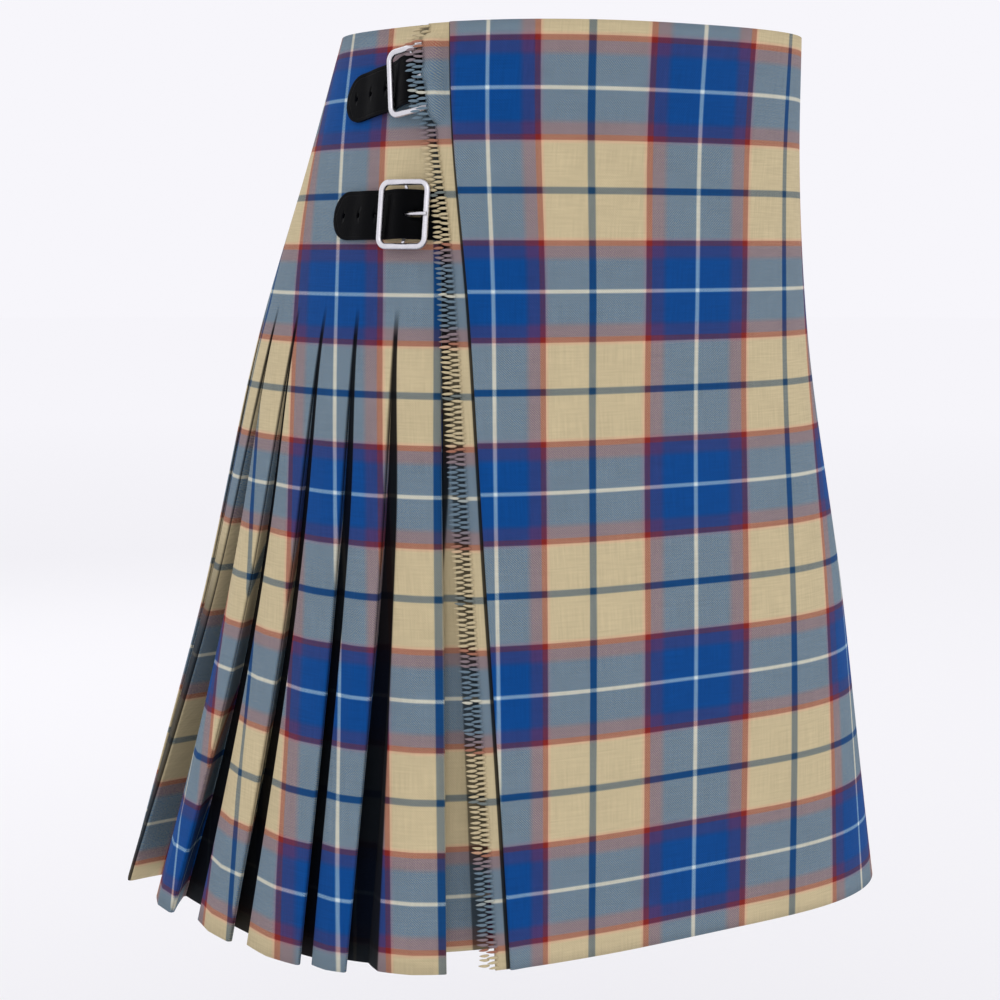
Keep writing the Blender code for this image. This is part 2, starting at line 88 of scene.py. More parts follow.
# ---- Form of the kilt, as in the frame's own design ----
LENGTH = CAD_BOX[1][2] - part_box("outer_apron")[0][2]
STATIONS = (0.0, 0.14, 0.32, 0.66, 1.0)
HALF_WIDTH = (0.154, 0.169, 0.189, 0.224, 0.262)
HALF_DEPTH = (0.143, 0.147, 0.161, 0.190, 0.222)
BACK_SHIFT = (0.0, 0.020, 0.043, 0.058, 0.087)
SQUARENESS_WAIST = 2.5
SQUARENESS_HEM = 3.3

# ---- Layers ----
CLOTH = 0.0014
SEAM = 0.0003
STRAP_ROOM = 0.0037
STRIP_LEVEL = -(CLOTH + SEAM)
UNDER_LEVEL = STRIP_LEVEL - CLOTH - STRAP_ROOM
FELL = 0.30
THIN = 0.0010  # the cloth that shows, thinner than its solid

# ---- Edges of the aprons, as arcs at the waist, the fell, half way below and the hem ----
EDGE_DROPS = (0.0, FELL, 0.65, 1.0)
APRON_EDGE = (-0.175, -0.1490, -0.1470, -0.1385)
LEFT_SEAM = (0.235, 0.270, 0.335, 0.400)
UNDER_LEFT_EDGE = (0.215, 0.235, 0.270, 0.300)
UNDER_APRON_RECESS = 0.0120
UNDER_APRON_TUCK = 0.0120
UNDER_APRON_SHORT = 0.0090
EDGE_LIFT = 0.0013
EDGE_LIFT_WIDTH = 0.014
EDGE_FOLD_RADIUS = 0.0008
EDGE_TURN_UNDER = 0.0100
RIPPLE_HEIGHT = 0.0016
APRON_ROWS = 81
UNDER_APRON_ROWS = 61
STRIP_ROWS = 201

# ---- Strip and fringe ----
STRIP_SHOWS = 0.0100
STRIP_TUCK = 0.0160
STRIP_WIDENS_ABOVE = 0.197
STRIP_WIDER = 0.0105
FRINGE_REACH = 0.0112
FRINGE_WIDER = 0.0140
FRINGE_OVERLAP = 0.0015
YARN_PITCH = 0.00335
YARN_RADIUS = 0.00102
YARN_SIDES = 6
YARN_SQUASH = 0.55
YARN_SIDE_STEP = 0.0003  # from one side of a yarn to the next, in its map
# Where the strip and the fringe are lifted over the upper right buckle and its prong.
BUCKLE_EDGE_ARC = -0.1762
BUCKLE_LEAN = 0.16
BUCKLE_RAMP = 0.0055
BUCKLE_TOP = 0.0050
BUCKLE_FOOT = 0.0640
BUCKLE_RISE = 0.0074
PRONG_DOWN = 0.0334
PRONG_RISE = 0.0028
PRONG_REACH = 0.0042

# ---- Knife pleats ----
PLEATS = 21
FIRST_FOLD = (-0.183, -0.171, -0.1785, -0.182)
SPREAD_PITCH = (0.068, 0.036, 0.074, 0.086, 0.096)
SPREAD_GAP = (0.022, 0.008, 0.014, 0.027, 0.050)
SPREAD_DEPTH = (0.026, 0.020, 0.022, 0.028, 0.032)
HIDDEN_GAP_SHARE = 0.30
HIDDEN_DEPTH = 0.021
HIDDEN_WAVER = 0.07
FOLD_STEP = 0.0026
FOLD_LIP = 0.0015
TUCK_SHARE = 0.36
LEVEL_RAMP = 0.130
FOLD_ROUNDING = 0.0013
FOLLOWS_PLEATS = (4, 9)  # between these folds the stripes above the fell turn to the pleats
CORNERS_PER_PLEAT = 8
POINTS_PER_CORNER = 6
FIRST_FOLD_POINT = 4  # of a rounded section, the point before the middle of its first fold
SHADED_PLEAT = 5  # turned away from the front, and dark towards the hem
ROWS_ABOVE_FELL = 13
ROWS_BELOW_FELL = 31

# ---- Tartan ----
# The repeat is symmetric about a white line and about a dark blue line. A place in it is
# counted in half repeats: even numbers are white lines and odd numbers are blue ones.
HALF_SETT_DOWN = 0.0650
FIRST_WHITE_DOWN = 0.0425
SIDE_LOWERED = 0.0026
# Arcs of the white and blue lines at the fell, each row's first line by its number.
APRON_LINES = (-0.270, -0.202, -0.1335, -0.0660, 0.0190, 0.110, 0.200, 0.286, 0.370, 0.454)
APRON_FIRST_LINE = -2
HALF_SETT_BACK = 0.0840
BACK_LINES = tuple(-0.365 - HALF_SETT_BACK * k for k in range(6, 0, -1))
UNDER_LINES = tuple(-0.0960 + 0.0780 * k for k in range(6))
SIDE_LINES = BACK_LINES + (-0.365, -0.259, -0.1720) + UNDER_LINES
SIDE_FIRST_LINE = -7
STRIP_STRIPE = (1.06, 1.44)  # the strip is cut within one pale stripe, between these places
# The lines lean a little, as the form narrows to the waist and flares to the hem.
LINE_LEAN = (-0.0140, 0.0, -0.0090, -0.0125)
SIDE_FAN = (-0.0150, 0.0, 0.0120, 0.0180)
# Colours as seen (0 to 255, red, green, blue), at their places in the half repeat.
BEIGE = (203, 187, 149)
BLUE = (15, 73, 139)
PURPLE = (75, 60, 106)
RED = (134, 44, 40)
PEACH = (226, 170, 140)
WHITE = (205, 218, 222)
DARK_BLUE = (34, 66, 96)
SHADOW = (9, 12, 18)
STRIPES = (
    (0.000, WHITE),
    (0.013, WHITE),
    (0.026, BLUE),
    (0.300, BLUE),
    (0.352, PURPLE),
    (0.448, PURPLE),
    (0.458, RED),
    (0.503, RED),
    (0.513, PEACH),
    (0.545, BEIGE),
    (0.960, BEIGE),
    (0.972, DARK_BLUE),
    (1.000, DARK_BLUE),
)
TWILL_LINE = 0.0016
THREAD = 0.0005
STRAND = 0.0004

# ---- Straps and buckles ----
STRAP_WIDTH = 0.032
STRAP_THICKNESS = 0.0022
STRAP_TIP = 0.072
HOLE_RADIUS = 0.0019
HOLE_PITCH = 0.0165
BUCKLE_WIDTH = 0.040
BUCKLE_HEIGHT = 0.046
BUCKLE_CORNER = 0.0078
CORNER_STEPS = 9
WIRE_RADIUS = 0.0021
BAR_RADIUS = 0.0012
BAR_HEIGHT = 0.0049
FRAME_HEIGHT = 0.0074
PRONG_RADIUS = 0.0012
PRONG_LOOP = 0.00245
TAB_THICKNESS = 0.0010
TAB_WIDTH = 0.026
TAB_LENGTH = 0.034
TAB_LOOP = BAR_RADIUS + SEAM + TAB_THICKNESS / 2
TAB_SPLIT_FROM = -0.0100
TAB_SPLIT = 0.0031
STITCH_ROWS = (-0.0320, -0.0290)
STITCHES_PER_ROW = 9
STITCH_PITCH = 0.0025
STITCH_RADIUS = 0.00035

# Each fastening has its buckle's middle bar at "arc" and "depth" below the top edge. The strap
# comes from the +x side of the buckle: "side" is 1 where that is towards +arc, and -1 where it
# is -arc.
RIGHT_WAIST = {"name": "right_waist", "arc": -0.2025, "depth": 0.0365, "tilt": 9.0, "side": 1}
RIGHT_HIP = {"name": "right_hip", "arc": -0.1970, "depth": 0.1235, "tilt": 0.0, "side": 1}
LEFT_WAIST = {"name": "left_waist", "arc": 0.300, "depth": 0.0385, "tilt": 0.0, "side": -1}
FASTENINGS = (RIGHT_WAIST, RIGHT_HIP, LEFT_WAIST)

# Height of the middle of each strap above the cloth it lies on, along its length from the buckle.
STRAP_RISE = (
    (-STRAP_TIP, 0.0016),
    (-0.0500, 0.0016),
    (-0.0380, 0.0031),
    (-0.0220, 0.0033),
    (-0.0160, 0.0042),
    (-0.0090, 0.0076),
    (-0.0040, 0.0094),
    (0.0000, 0.0098),
    (0.0040, 0.0094),
    (0.0090, 0.0074),
    (0.0145, 0.0038),
    (0.0175, 0.0020),
    (0.0200, 0.0015),
    (0.0310, 0.0015),
)
RIGHT_ROOT = ((0.0400, 0.0015), (0.0480, 0.0015))
LEFT_ROOT = (
    (0.0380, 0.0016),
    (0.0440, -0.0005),
    (0.0500, -0.0032),
    (0.0560, -0.0048),
    (0.1040, -0.0048),
)

# ---- Stage ----
FLOOR_HEIGHT = -1.06
VIEW_TURN = math.radians(-36.0)
CAMERA_DISTANCE = 1.68
CAMERA_HEIGHT = -0.144
CAMERA_PAN = math.radians(-1.70)
CAMERA_DOWN = math.radians(6.09)
CAMERA_LENS = 85.25


# ---- The form ----


def smooth(share):
    """0 to 1 with level ends."""
    share = np.clip(share, 0.0, 1.0)
    return share * share * (3.0 - 2.0 * share)


def between(knots, values, at):
    """A smooth curve through the values given at the knots."""
    knots = np.asarray(knots, float)
    values = np.asarray(values, float)
    slopes = np.gradient(values, knots)
    i = min(max(int(np.searchsorted(knots, at)) - 1, 0), len(knots) - 2)
    span = knots[i + 1] - knots[i]
    u = (at - knots[i]) / span
    return (
        (2 * u**3 - 3 * u**2 + 1) * values[i]
        + (u**3 - 2 * u**2 + u) * span * slopes[i]
        + (3 * u**2 - 2 * u**3) * values[i + 1]
        + (u**3 - u**2) * span * slopes[i + 1]
    )


def ring(drop):
    """The level section of the form: its points, and the arc at each from the centre front."""
    turn = np.radians(np.arange(-360.0, 181.0, 1.0))
    half_width = between(STATIONS, HALF_WIDTH, drop)
    half_depth = between(STATIONS, HALF_DEPTH, drop)
    power = SQUARENESS_WAIST + (SQUARENESS_HEM - SQUARENESS_WAIST) * drop
    across = np.abs(np.sin(turn) / half_width) ** power
    through = np.abs(np.cos(turn) / half_depth) ** power
    reach = (across + through) ** (-1.0 / power)
    x = reach * np.sin(turn)
    y = between(STATIONS, BACK_SHIFT, drop) - reach * np.cos(turn)
    arc = np.concatenate([[0.0], np.cumsum(np.hypot(np.diff(x), np.diff(y)))])
    return x, y, arc - arc[360]


def girth(drop):
    return -ring(drop)[2][0]


def skin(arcs, drop, levels):
    """Points of the form at one drop, each moved out by its level."""
    x, y, arc = ring(drop)
    arcs = np.asarray(arcs, float)
    step = 0.003
    ahead = np.stack([np.interp(arcs + step, arc, x), np.interp(arcs + step, arc, y)], 1)
    behind = np.stack([np.interp(arcs - step, arc, x), np.interp(arcs - step, arc, y)], 1)
    tangent = ahead - behind
    tangent /= np.linalg.norm(tangent, axis=1)[:, None]
    level = np.broadcast_to(levels, arcs.shape)
    points = (ahead + behind) / 2
    points[:, 0] += tangent[:, 1] * level
    points[:, 1] -= tangent[:, 0] * level
    return np.column_stack([points, np.full(len(arcs), -LENGTH * drop)])


def edge_at(values, drop):
    return between(EDGE_DROPS, values, drop)


# ---- Node helpers ----


class Nodes:
    """Short ways to add shader nodes to one material."""

    def __init__(self, name):
        self.material = bpy.data.materials.new(name)
        self.material.use_nodes = True
        self.tree = self.material.node_tree
        self.shader = self.tree.nodes["Principled BSDF"]

    def add(self, kind, *inputs, **settings):
        """A node with these settings, its first inputs linked or set in order."""
        node = self.tree.nodes.new(kind)
        for key, value in settings.items():
            setattr(node, key, value)
        for socket, value in zip(node.inputs, inputs):
            self.feed(socket, value)
        return node

    def feed(self, socket, value):
        if value is None:
            return
        if isinstance(value, bpy.types.NodeSocket):
            self.tree.links.new(value, socket)
        else:
            socket.default_value = value

    def math(self, operation, *inputs):
        return self.add("ShaderNodeMath", *inputs, operation=operation).outputs[0]

    def scale(self, vector, factors):
        node = self.add("ShaderNodeVectorMath", vector, factors, operation="MULTIPLY")
        return node.outputs[0]

    def noise(self, vector, scale, detail=2.0):
        node = self.add("ShaderNodeTexNoise")
        self.feed(node.inputs["Vector"], vector)
        node.inputs["Scale"].default_value = scale
        node.inputs["Detail"].default_value = detail
        return node.outputs["Fac"]

    def stretch(self, value, low, high, to_low, to_high):
        node = self.add("ShaderNodeMapRange", value, low, high, to_low, to_high)
        return node.outputs[0]

    def mix(self, factor, first, second, blend="MIX"):
        node = self.add("ShaderNodeMix", data_type="RGBA", blend_type=blend)
        self.feed(node.inputs["Factor"], factor)
        self.feed(node.inputs[6], first)
        self.feed(node.inputs[7], second)
        return node.outputs[2]

    def uv(self, name):
        return self.add("ShaderNodeUVMap", uv_map=name).outputs[0]

    def place(self):
        return self.add("ShaderNodeTexCoord").outputs["Object"]

    def shade(self):
        return self.add("ShaderNodeAttribute", attribute_name="shade").outputs["Fac"]

    def split(self, vector):
        return self.add("ShaderNodeSeparateXYZ", vector).outputs

    def ramp(self, value, stops):
        node = self.add("ShaderNodeValToRGB", value)
        elements = node.color_ramp.elements
        while len(elements) < len(stops):
            elements.new(0.5)
        for element, (place, colour) in zip(elements, stops):
            element.position = place
            element.color = (*(part / 255.0 for part in colour), 1.0)
        return node.outputs[0]

    def bump(self, height, strength, distance):
        node = self.add("ShaderNodeBump")
        node.inputs["Strength"].default_value = strength
        node.inputs["Distance"].default_value = distance
        self.feed(node.inputs["Height"], height)
        self.feed(self.shader.inputs["Normal"], node.outputs[0])

    def finish(self, colour, roughness, **constants):
        self.feed(self.shader.inputs["Base Color"], colour)
        self.feed(self.shader.inputs["Roughness"], roughness)
        for name, value in constants.items():
            self.shader.inputs[name.replace("_", " ")].default_value = value
        return self.material


def as_linear(seen):
    """A colour given as seen, turned to the linear value that a shader takes."""
    return tuple((part / 255.0) ** 2.2 for part in seen) + (1.0,)


# ---- Materials ----


def stripe_colour(nodes, place):
    """The thread's colour at a place counted in half repeats, as seen."""
    return nodes.ramp(nodes.math("PINGPONG", place, 1.0), STRIPES)


def facing_in(nodes):
    """1 on the side of the cloth that faces the wearer, where the folds are not in shadow."""
    place = nodes.add("ShaderNodeTexCoord").outputs
    level = nodes.scale(place["Object"], (1.0, 1.0, 0.0))
    centre = (0.0, BACK_SHIFT[2], 0.0)
    outward = nodes.add("ShaderNodeVectorMath", level, centre, operation="SUBTRACT").outputs[0]
    facing = nodes.add("ShaderNodeVectorMath", place["Normal"], outward, operation="DOT_PRODUCT")
    return nodes.stretch(facing.outputs["Value"], 0.0, -0.04, 0.0, 1.0)


def make_tartan():
    """Wool twill: the stripes of warp and weft show in turn along fine diagonal lines."""
    nodes = Nodes("tartan_twill")
    across, down, _ = nodes.split(nodes.uv("sett"))
    cloth = nodes.uv("cloth")
    thread_x, thread_y, _ = nodes.split(cloth)
    warp = stripe_colour(nodes, across)
    weft = stripe_colour(nodes, down)
    diagonal = nodes.math("ADD", thread_x, thread_y)
    twill = nodes.math("PINGPONG", diagonal, TWILL_LINE / 2)
    twill = nodes.math("DIVIDE", twill, TWILL_LINE / 2)
    uneven = nodes.noise(cloth, 1.0 / THREAD, 1.0)
    share = nodes.math("ADD", twill, nodes.stretch(uneven, 0.3, 0.7, -0.45, 0.45))
    share = nodes.stretch(share, 0.0, 1.0, 0.26, 0.74)
    woven = nodes.mix(share, warp, weft)
    down_streak = nodes.noise(nodes.scale(cloth, (1000.0, 40.0, 1.0)), 1.0, 2.0)
    across_streak = nodes.noise(nodes.scale(cloth, (40.0, 1000.0, 1.0)), 1.0, 2.0)
    blotch = nodes.noise(cloth, 28.0, 3.0)
    light = nodes.math("ADD", down_streak, across_streak)
    light = nodes.stretch(light, 0.7, 1.3, 0.83, 1.01)
    light = nodes.math("MULTIPLY", light, nodes.stretch(blotch, 0.3, 0.7, 0.975, 1.025))
    light = nodes.math("MULTIPLY", light, nodes.stretch(twill, 0.0, 1.0, 0.97, 1.03))
    linear = nodes.add("ShaderNodeGamma", woven, 2.2).outputs[0]
    linear = nodes.mix(1.0, linear, light, "MULTIPLY")
    shade = nodes.math("MAXIMUM", nodes.shade(), facing_in(nodes))
    colour = nodes.mix(shade, as_linear(SHADOW), linear)
    height = nodes.math("ADD", nodes.math("MULTIPLY", twill, 0.6), uneven)
    height = nodes.math("ADD", height, light)
    nodes.bump(height, 0.35, 0.0003)
    return nodes.finish(
        colour, 0.90, Sheen_Weight=0.02, Sheen_Roughness=0.6, Specular_IOR_Level=0.08
    )


def make_fringe_wool():
    """Loose weft yarn: each thread keeps the colour of its own stripe."""
    nodes = Nodes("fringe_wool")
    _, down, _ = nodes.split(nodes.uv("sett"))
    along, across, _ = nodes.split(nodes.uv("cloth"))
    beige = tuple(part / 255.0 for part in BEIGE) + (1.0,)
    seen = nodes.mix(0.5, stripe_colour(nodes, down), beige)
    linear = nodes.add("ShaderNodeGamma", seen, 2.2).outputs[0]
    strands = nodes.math("PINGPONG", nodes.math("ADD", along, across), STRAND)
    strands = nodes.math("DIVIDE", strands, STRAND)
    linear = nodes.mix(1.0, linear, nodes.stretch(strands, 0.0, 1.0, 0.75, 1.1), "MULTIPLY")
    colour = nodes.mix(nodes.shade(), as_linear(SHADOW), linear)
    nodes.bump(strands, 0.5, 0.0002)
    return nodes.finish(colour, 0.92, Sheen_Weight=0.08, Specular_IOR_Level=0.15)


def make_leather():
    """Black bridle leather: fine grain, a pressed line along the edge and slightly paler edges, partly
    wear and partly a painted highlight.
    """
    nodes = Nodes("bridle_leather")
    place = nodes.uv("leather")
    _, inward, _ = nodes.split(place)
    texture = nodes.place()
    cells = nodes.add("ShaderNodeTexVoronoi", feature="F1")
    nodes.feed(cells.inputs["Vector"], texture)
    cells.inputs["Scale"].default_value = 1500.0
    grain = nodes.math("ADD", cells.outputs["Distance"], nodes.noise(texture, 700.0, 3.0))
    line = nodes.math("ABSOLUTE", nodes.math("SUBTRACT", inward, 0.0024))
    pressed = nodes.stretch(line, 0.0, 0.0006, 1.0, 0.0)
    # Paler edges: partly wear, and partly a painted highlight where the rounded edge would catch the
    # light.
    wear_and_highlight = nodes.stretch(inward, 0.0, 0.0007, 1.0, 0.0)
    patch = nodes.noise(texture, 90.0, 3.0)
    share = nodes.stretch(patch, 0.3, 0.7, 0.0, 1.0)
    colour = nodes.mix(share, as_linear((2, 4, 7)), as_linear((6, 8, 12)))
    colour = nodes.mix(nodes.math("MULTIPLY", wear_and_highlight, 0.6), colour, as_linear((24, 25, 29)))
    colour = nodes.mix(nodes.math("MULTIPLY", pressed, 0.7), colour, as_linear((3, 3, 5)))
    height = nodes.math("SUBTRACT", nodes.math("MULTIPLY", grain, 0.35), pressed)
    nodes.bump(height, 0.4, 0.0004)
    roughness = nodes.stretch(patch, 0.3, 0.7, 0.46, 0.58)
    return nodes.finish(colour, roughness, Specular_IOR_Level=0.04)


def make_metal():
    """Pale nickel plate with fine scratches."""
    nodes = Nodes("nickel_plate")
    texture = nodes.place()
    scratch = nodes.noise(nodes.scale(texture, (400.0, 400.0, 3000.0)), 1.0, 3.0)
    cloud = nodes.noise(texture, 160.0, 2.0)
    share = nodes.stretch(cloud, 0.3, 0.7, 0.0, 1.0)
    colour = nodes.mix(share, (0.70, 0.69, 0.72, 1.0), (0.78, 0.77, 0.80, 1.0))
    roughness = nodes.stretch(scratch, 0.3, 0.7, 0.24, 0.40)
    nodes.bump(scratch, 0.12, 0.0001)
    return nodes.finish(colour, roughness, Metallic=1.0)


def make_thread():
    """Waxed black sewing thread."""
    nodes = Nodes("sewing_thread")
    texture = nodes.place()
    twist = nodes.noise(texture, 2500.0, 1.0)
    colour = nodes.mix(twist, as_linear((40, 40, 44)), as_linear((74, 74, 80)))
    nodes.bump(twist, 0.4, 0.0001)
    return nodes.finish(colour, 0.6)


# ---- Making pieces ----


def finish_piece(obj, node):
    """Smooth shading, and the piece stands for its solid."""
    obj.data.shade_smooth()
    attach(obj, BODY)
    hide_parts(node)


def add_object(name, data):
    obj = bpy.data.objects.new(name, data)
    bpy.context.scene.collection.objects.link(obj)
    return obj


def grid_mesh(name, points, material):
    """A mesh through rows of points, and the point's number at each corner of its faces."""
    index = np.arange(points.shape[0] * points.shape[1]).reshape(points.shape[:2])
    corners = (index[:-1, :-1], index[1:, :-1], index[1:, 1:], index[:-1, 1:])
    faces = np.stack(corners, -1).reshape(-1, 4)
    data = bpy.data.meshes.new(name)
    data.from_pydata(points.reshape(-1, 3).tolist(), [], faces.tolist())
    data.materials.append(material)
    return data, faces.ravel()


def add_uv(data, name, values, corners):
    layer = data.uv_layers.new(name=name)
    layer.data.foreach_set("uv", values.reshape(-1, 2)[corners].astype(np.float32).ravel())


def add_wall(obj, thickness):
    wall = obj.modifiers.new("wall", "SOLIDIFY")
    wall.thickness = thickness
    wall.offset = 0.0
    wall.use_even_offset = False


def make_cloth(node, rows, tartan):
    """The sheet of cloth for one solid, through its rows.

    Each row is its points, its places on the cloth and in the tartan, and its shades."""
    points, cloth, sett, shades = (np.array(part) for part in zip(*rows))
    data, corners = grid_mesh(f"{node}_cloth", points, tartan)
    add_uv(data, "cloth", cloth, corners)
    add_uv(data, "sett", sett, corners)
    shade = data.attributes.new("shade", "FLOAT", "POINT")
    shade.data.foreach_set("value", shades.astype(np.float32).ravel())
    sheet = add_object(f"{node}_cloth", data)
    add_wall(sheet, THIN)
    finish_piece(sheet, node)
    return sheet


def flat_size(rows):
    """Width and length of the cloth in these rows laid flat, and its area."""
    points = np.array([row[0] for row in rows])
    widths = np.linalg.norm(np.diff(points, axis=1), axis=2).sum(1)
    lengths = np.linalg.norm(np.diff(points, axis=0), axis=2).mean(1)
    area = float((lengths * (widths[1:] + widths[:-1]) / 2).sum())
    return (float(widths.max()), float(lengths.sum())), area


def down_sett(drop, lowered=0.0):
    return (drop * LENGTH - FIRST_WHITE_DOWN - lowered) / HALF_SETT_DOWN


def lines_sett(arcs, lines, first):
    """The place across the tartan at each arc, from the arcs of its lines."""
    numbers = first + np.arange(len(lines))
    return np.interp(arcs, lines, numbers)


def apron_sett(arcs, drop):
    lean = edge_at(LINE_LEAN, drop)
    return lines_sett(arcs - lean, APRON_LINES, APRON_FIRST_LINE)


def side_sett(arcs, drop):
    """The same for the side and back, where the lines lean more further round."""
    lean = edge_at(LINE_LEAN, drop)
    fan = edge_at(SIDE_FAN, drop)
    beyond = np.array(SIDE_LINES) < FIRST_FOLD[1] - 0.02
    lines = np.array(SIDE_LINES) + lean + fan * beyond
    return lines_sett(arcs, lines, SIDE_FIRST_LINE)


def cloth_row(arcs, drop, levels, across, lowered, shade):
    """One row of a piece of cloth, ready for make_cloth."""
    arcs = np.asarray(arcs, float)
    cloth = np.column_stack([arcs, np.full(len(arcs), -drop * LENGTH)])
    sett = np.column_stack([across, np.full(len(arcs), down_sett(drop, lowered))])
    return skin(arcs, drop, levels), cloth, sett, np.broadcast_to(shade, arcs.shape)


# ---- Aprons ----


def inside(share, margin):
    """0 at both edges of a panel and 1 between its margins."""
    return smooth(share / margin) * smooth((1.0 - share) / margin)


def apron_ripple(share, drop):
    """Soft hanging waves of the outer apron, deeper towards the hem and none at its edges."""
    wave = 0.6 * math.sin(5.0 * drop + 0.6) * np.sin(9.0 * share + 1.2 * drop)
    wave = wave + 0.5 * np.sin(17.0 * share - 2.0 * drop + 0.8)
    return RIPPLE_HEIGHT * inside(share, 0.15) * smooth((drop - 0.15) / 0.7) * wave


def make_outer_apron(tartan):
    """The front panel, its free edge folded under."""
    rows = []
    radius = EDGE_FOLD_RADIUS
    top = EDGE_LIFT - THIN / 2
    turns = np.radians(np.arange(180.0, -1.0, -30.0))
    under = np.linspace(EDGE_TURN_UNDER, radius * 1.5, 4)
    bend = radius - radius * np.sin(turns)
    near = np.array([0.0018, 0.0032, 0.0052, 0.0080, 0.0110])
    for drop in np.linspace(0.0, 1.0, APRON_ROWS):
        edge = edge_at(APRON_EDGE, drop)
        width = edge_at(LEFT_SEAM, drop) - SEAM - edge
        face = np.linspace(EDGE_LIFT_WIDTH, width, 84)
        out = np.concatenate([under, bend, near, face])
        lift = EDGE_LIFT * (1.0 - smooth(out / EDGE_LIFT_WIDTH))
        levels = lift - THIN / 2 + apron_ripple(out / width, drop)
        levels[: len(under)] = top - 2 * radius
        levels[len(under) : len(under) + len(bend)] = top - radius + radius * np.cos(turns)
        arcs = edge + out
        run = np.concatenate([-under, out[len(under) :]])
        across = apron_sett(edge + run, drop)
        shade = np.ones(len(arcs))
        shade[: len(under) + 2] = 0.12
        shade[len(under) + 2 : len(under) + 4] = 0.55
        rows.append(cloth_row(arcs, drop, levels, across, 0.0, shade))
    apron = make_cloth("outer_apron", rows, tartan)


def waist_share(drop):
    """1 at the waist, falling evenly to 0 a short way down, where the strip is at its narrowest."""
    return max(0.0, 1.0 - drop / STRIP_WIDENS_ABOVE)


def strip_shown(drop):
    return STRIP_SHOWS + STRIP_WIDER * waist_share(drop)


def fringe_from(drop):
    """How far out from the apron's edge the fringe begins."""
    return strip_shown(drop) - FRINGE_OVERLAP


def fringe_to(drop):
    return STRIP_SHOWS + FRINGE_REACH + FRINGE_WIDER * waist_share(drop)


def under_fringe(arcs, drop):
    """1 where the cloth lies in the fringe's shadow, and 0 beside it."""
    edge = edge_at(APRON_EDGE, drop)
    outer = smooth((arcs - edge + fringe_to(drop) - 0.0010) / 0.0012)
    return outer * smooth((edge - fringe_from(drop) + 0.0030 - arcs) / 0.0012)


def over_buckle(arc, down):
    """How far the strip and its fringe are lifted where they cross the upper right buckle."""
    edge = BUCKLE_EDGE_ARC + BUCKLE_LEAN * (down - PRONG_DOWN)
    crossing = smooth((edge - arc) / BUCKLE_RAMP)
    above = smooth((down - BUCKLE_TOP) / BUCKLE_RAMP)
    below = smooth((BUCKLE_FOOT - down) / BUCKLE_RAMP)
    over_prong = PRONG_RISE * math.exp(-(((down - PRONG_DOWN) / PRONG_REACH) ** 2))
    return (BUCKLE_RISE + over_prong) * crossing * above * below


def make_fringe_strip(tartan):
    """The strip under the folded edge, in the shadow of that edge along a narrow line."""
    rows = []
    shown = np.array([-1.0, -0.93, -0.85, -0.75, -0.65, -0.55, -0.40])
    tucked = np.array([-0.0028, -0.0023, 0.0, 0.004, 0.008, 0.012, STRIP_TUCK])
    shown_shade = [0.80, 0.90, 1.0, 1.0, 1.0, 1.0, 1.0]
    tucked_shade = [0.96, 0.10, 0.05, 0.05, 0.05, 0.05, 0.05]
    shade = np.array(shown_shade + tucked_shade)
    for drop in np.linspace(0.0, 1.0, STRIP_ROWS):
        out = np.concatenate([shown * strip_shown(drop), tucked])
        arcs = edge_at(APRON_EDGE, drop) + out
        across = np.clip(side_sett(arcs, drop), *STRIP_STRIPE)
        level = STRIP_LEVEL - THIN / 2 + over_buckle(arcs, drop * LENGTH)
        rows.append(cloth_row(arcs, drop, level, across, SIDE_LOWERED, shade))
    strip = make_cloth("fringe_strip", rows, tartan)
    return strip, flat_size(rows)


def opening(drop):
    """How far the pleats have opened: 0 at the fell and above, 1 at the hem."""
    return max(0.0, (drop - FELL) / (1.0 - FELL))


def make_under_apron(tartan):
    """The panel underneath, drawn in behind the first pleat and dark beside it."""
    rows = []
    end = 1.0 - UNDER_APRON_SHORT / LENGTH
    for drop in np.linspace(0.0, end, UNDER_APRON_ROWS):
        opened = opening(drop)
        tuck = UNDER_APRON_TUCK * smooth((opened - 0.14) / 0.6)
        right = edge_at(FIRST_FOLD, drop) + FOLD_LIP + SEAM - tuck
        left = edge_at(UNDER_LEFT_EDGE, drop)
        near = np.linspace(right, right + 0.045, 60)
        arcs = np.concatenate([near, np.linspace(near[-1], left, 60)[1:]])
        share = (arcs - right) / (left - right)
        wave = np.sin(14.0 * share + 2.0 * drop) * inside(share, 0.1)
        level = UNDER_LEVEL - UNDER_APRON_RECESS * opened - CLOTH / 2
        level = level - 0.0015 * opened * (1.0 + wave)
        across = side_sett(arcs, drop)
        beside = smooth((arcs - right + tuck - 0.0035 - 0.0095 * opened) / 0.0016)
        shade = (0.06 + 0.94 * beside) * (1.0 - 0.72 * under_fringe(arcs, drop))
        rows.append(cloth_row(arcs, drop, level, across, SIDE_LOWERED, shade))
    apron = make_cloth("under_apron", rows, tartan)


# ---- Pleated back ----


def hem_spacing():
    """Distances between neighbouring folds at the hem, from the wearer's right round the back."""
    spread = sum(SPREAD_PITCH)
    end = girth(1.0) - LEFT_SEAM[-1] + FIRST_FOLD[-1]
    count = PLEATS - len(SPREAD_PITCH)
    even = (end - spread) / count
    hidden = [even * (1.0 + HIDDEN_WAVER * math.sin(2.4 * k)) for k in range(count)]
    hidden = [value * (end - spread) / sum(hidden) for value in hidden]
    return list(SPREAD_PITCH) + hidden


def fold_arcs(drop):
    """Arcs of the fold edges and, last, of the left seam."""
    right = edge_at(FIRST_FOLD, drop)
    seam = SEAM / 2 - (girth(drop) - edge_at(LEFT_SEAM, drop))
    even = right + (seam - right) * np.arange(PLEATS + 1) / PLEATS
    shares = np.concatenate([[0.0], np.cumsum(hem_spacing())])
    spread = right + (seam - right) * shares / shares[-1]
    return even + (spread - even) * opening(drop)


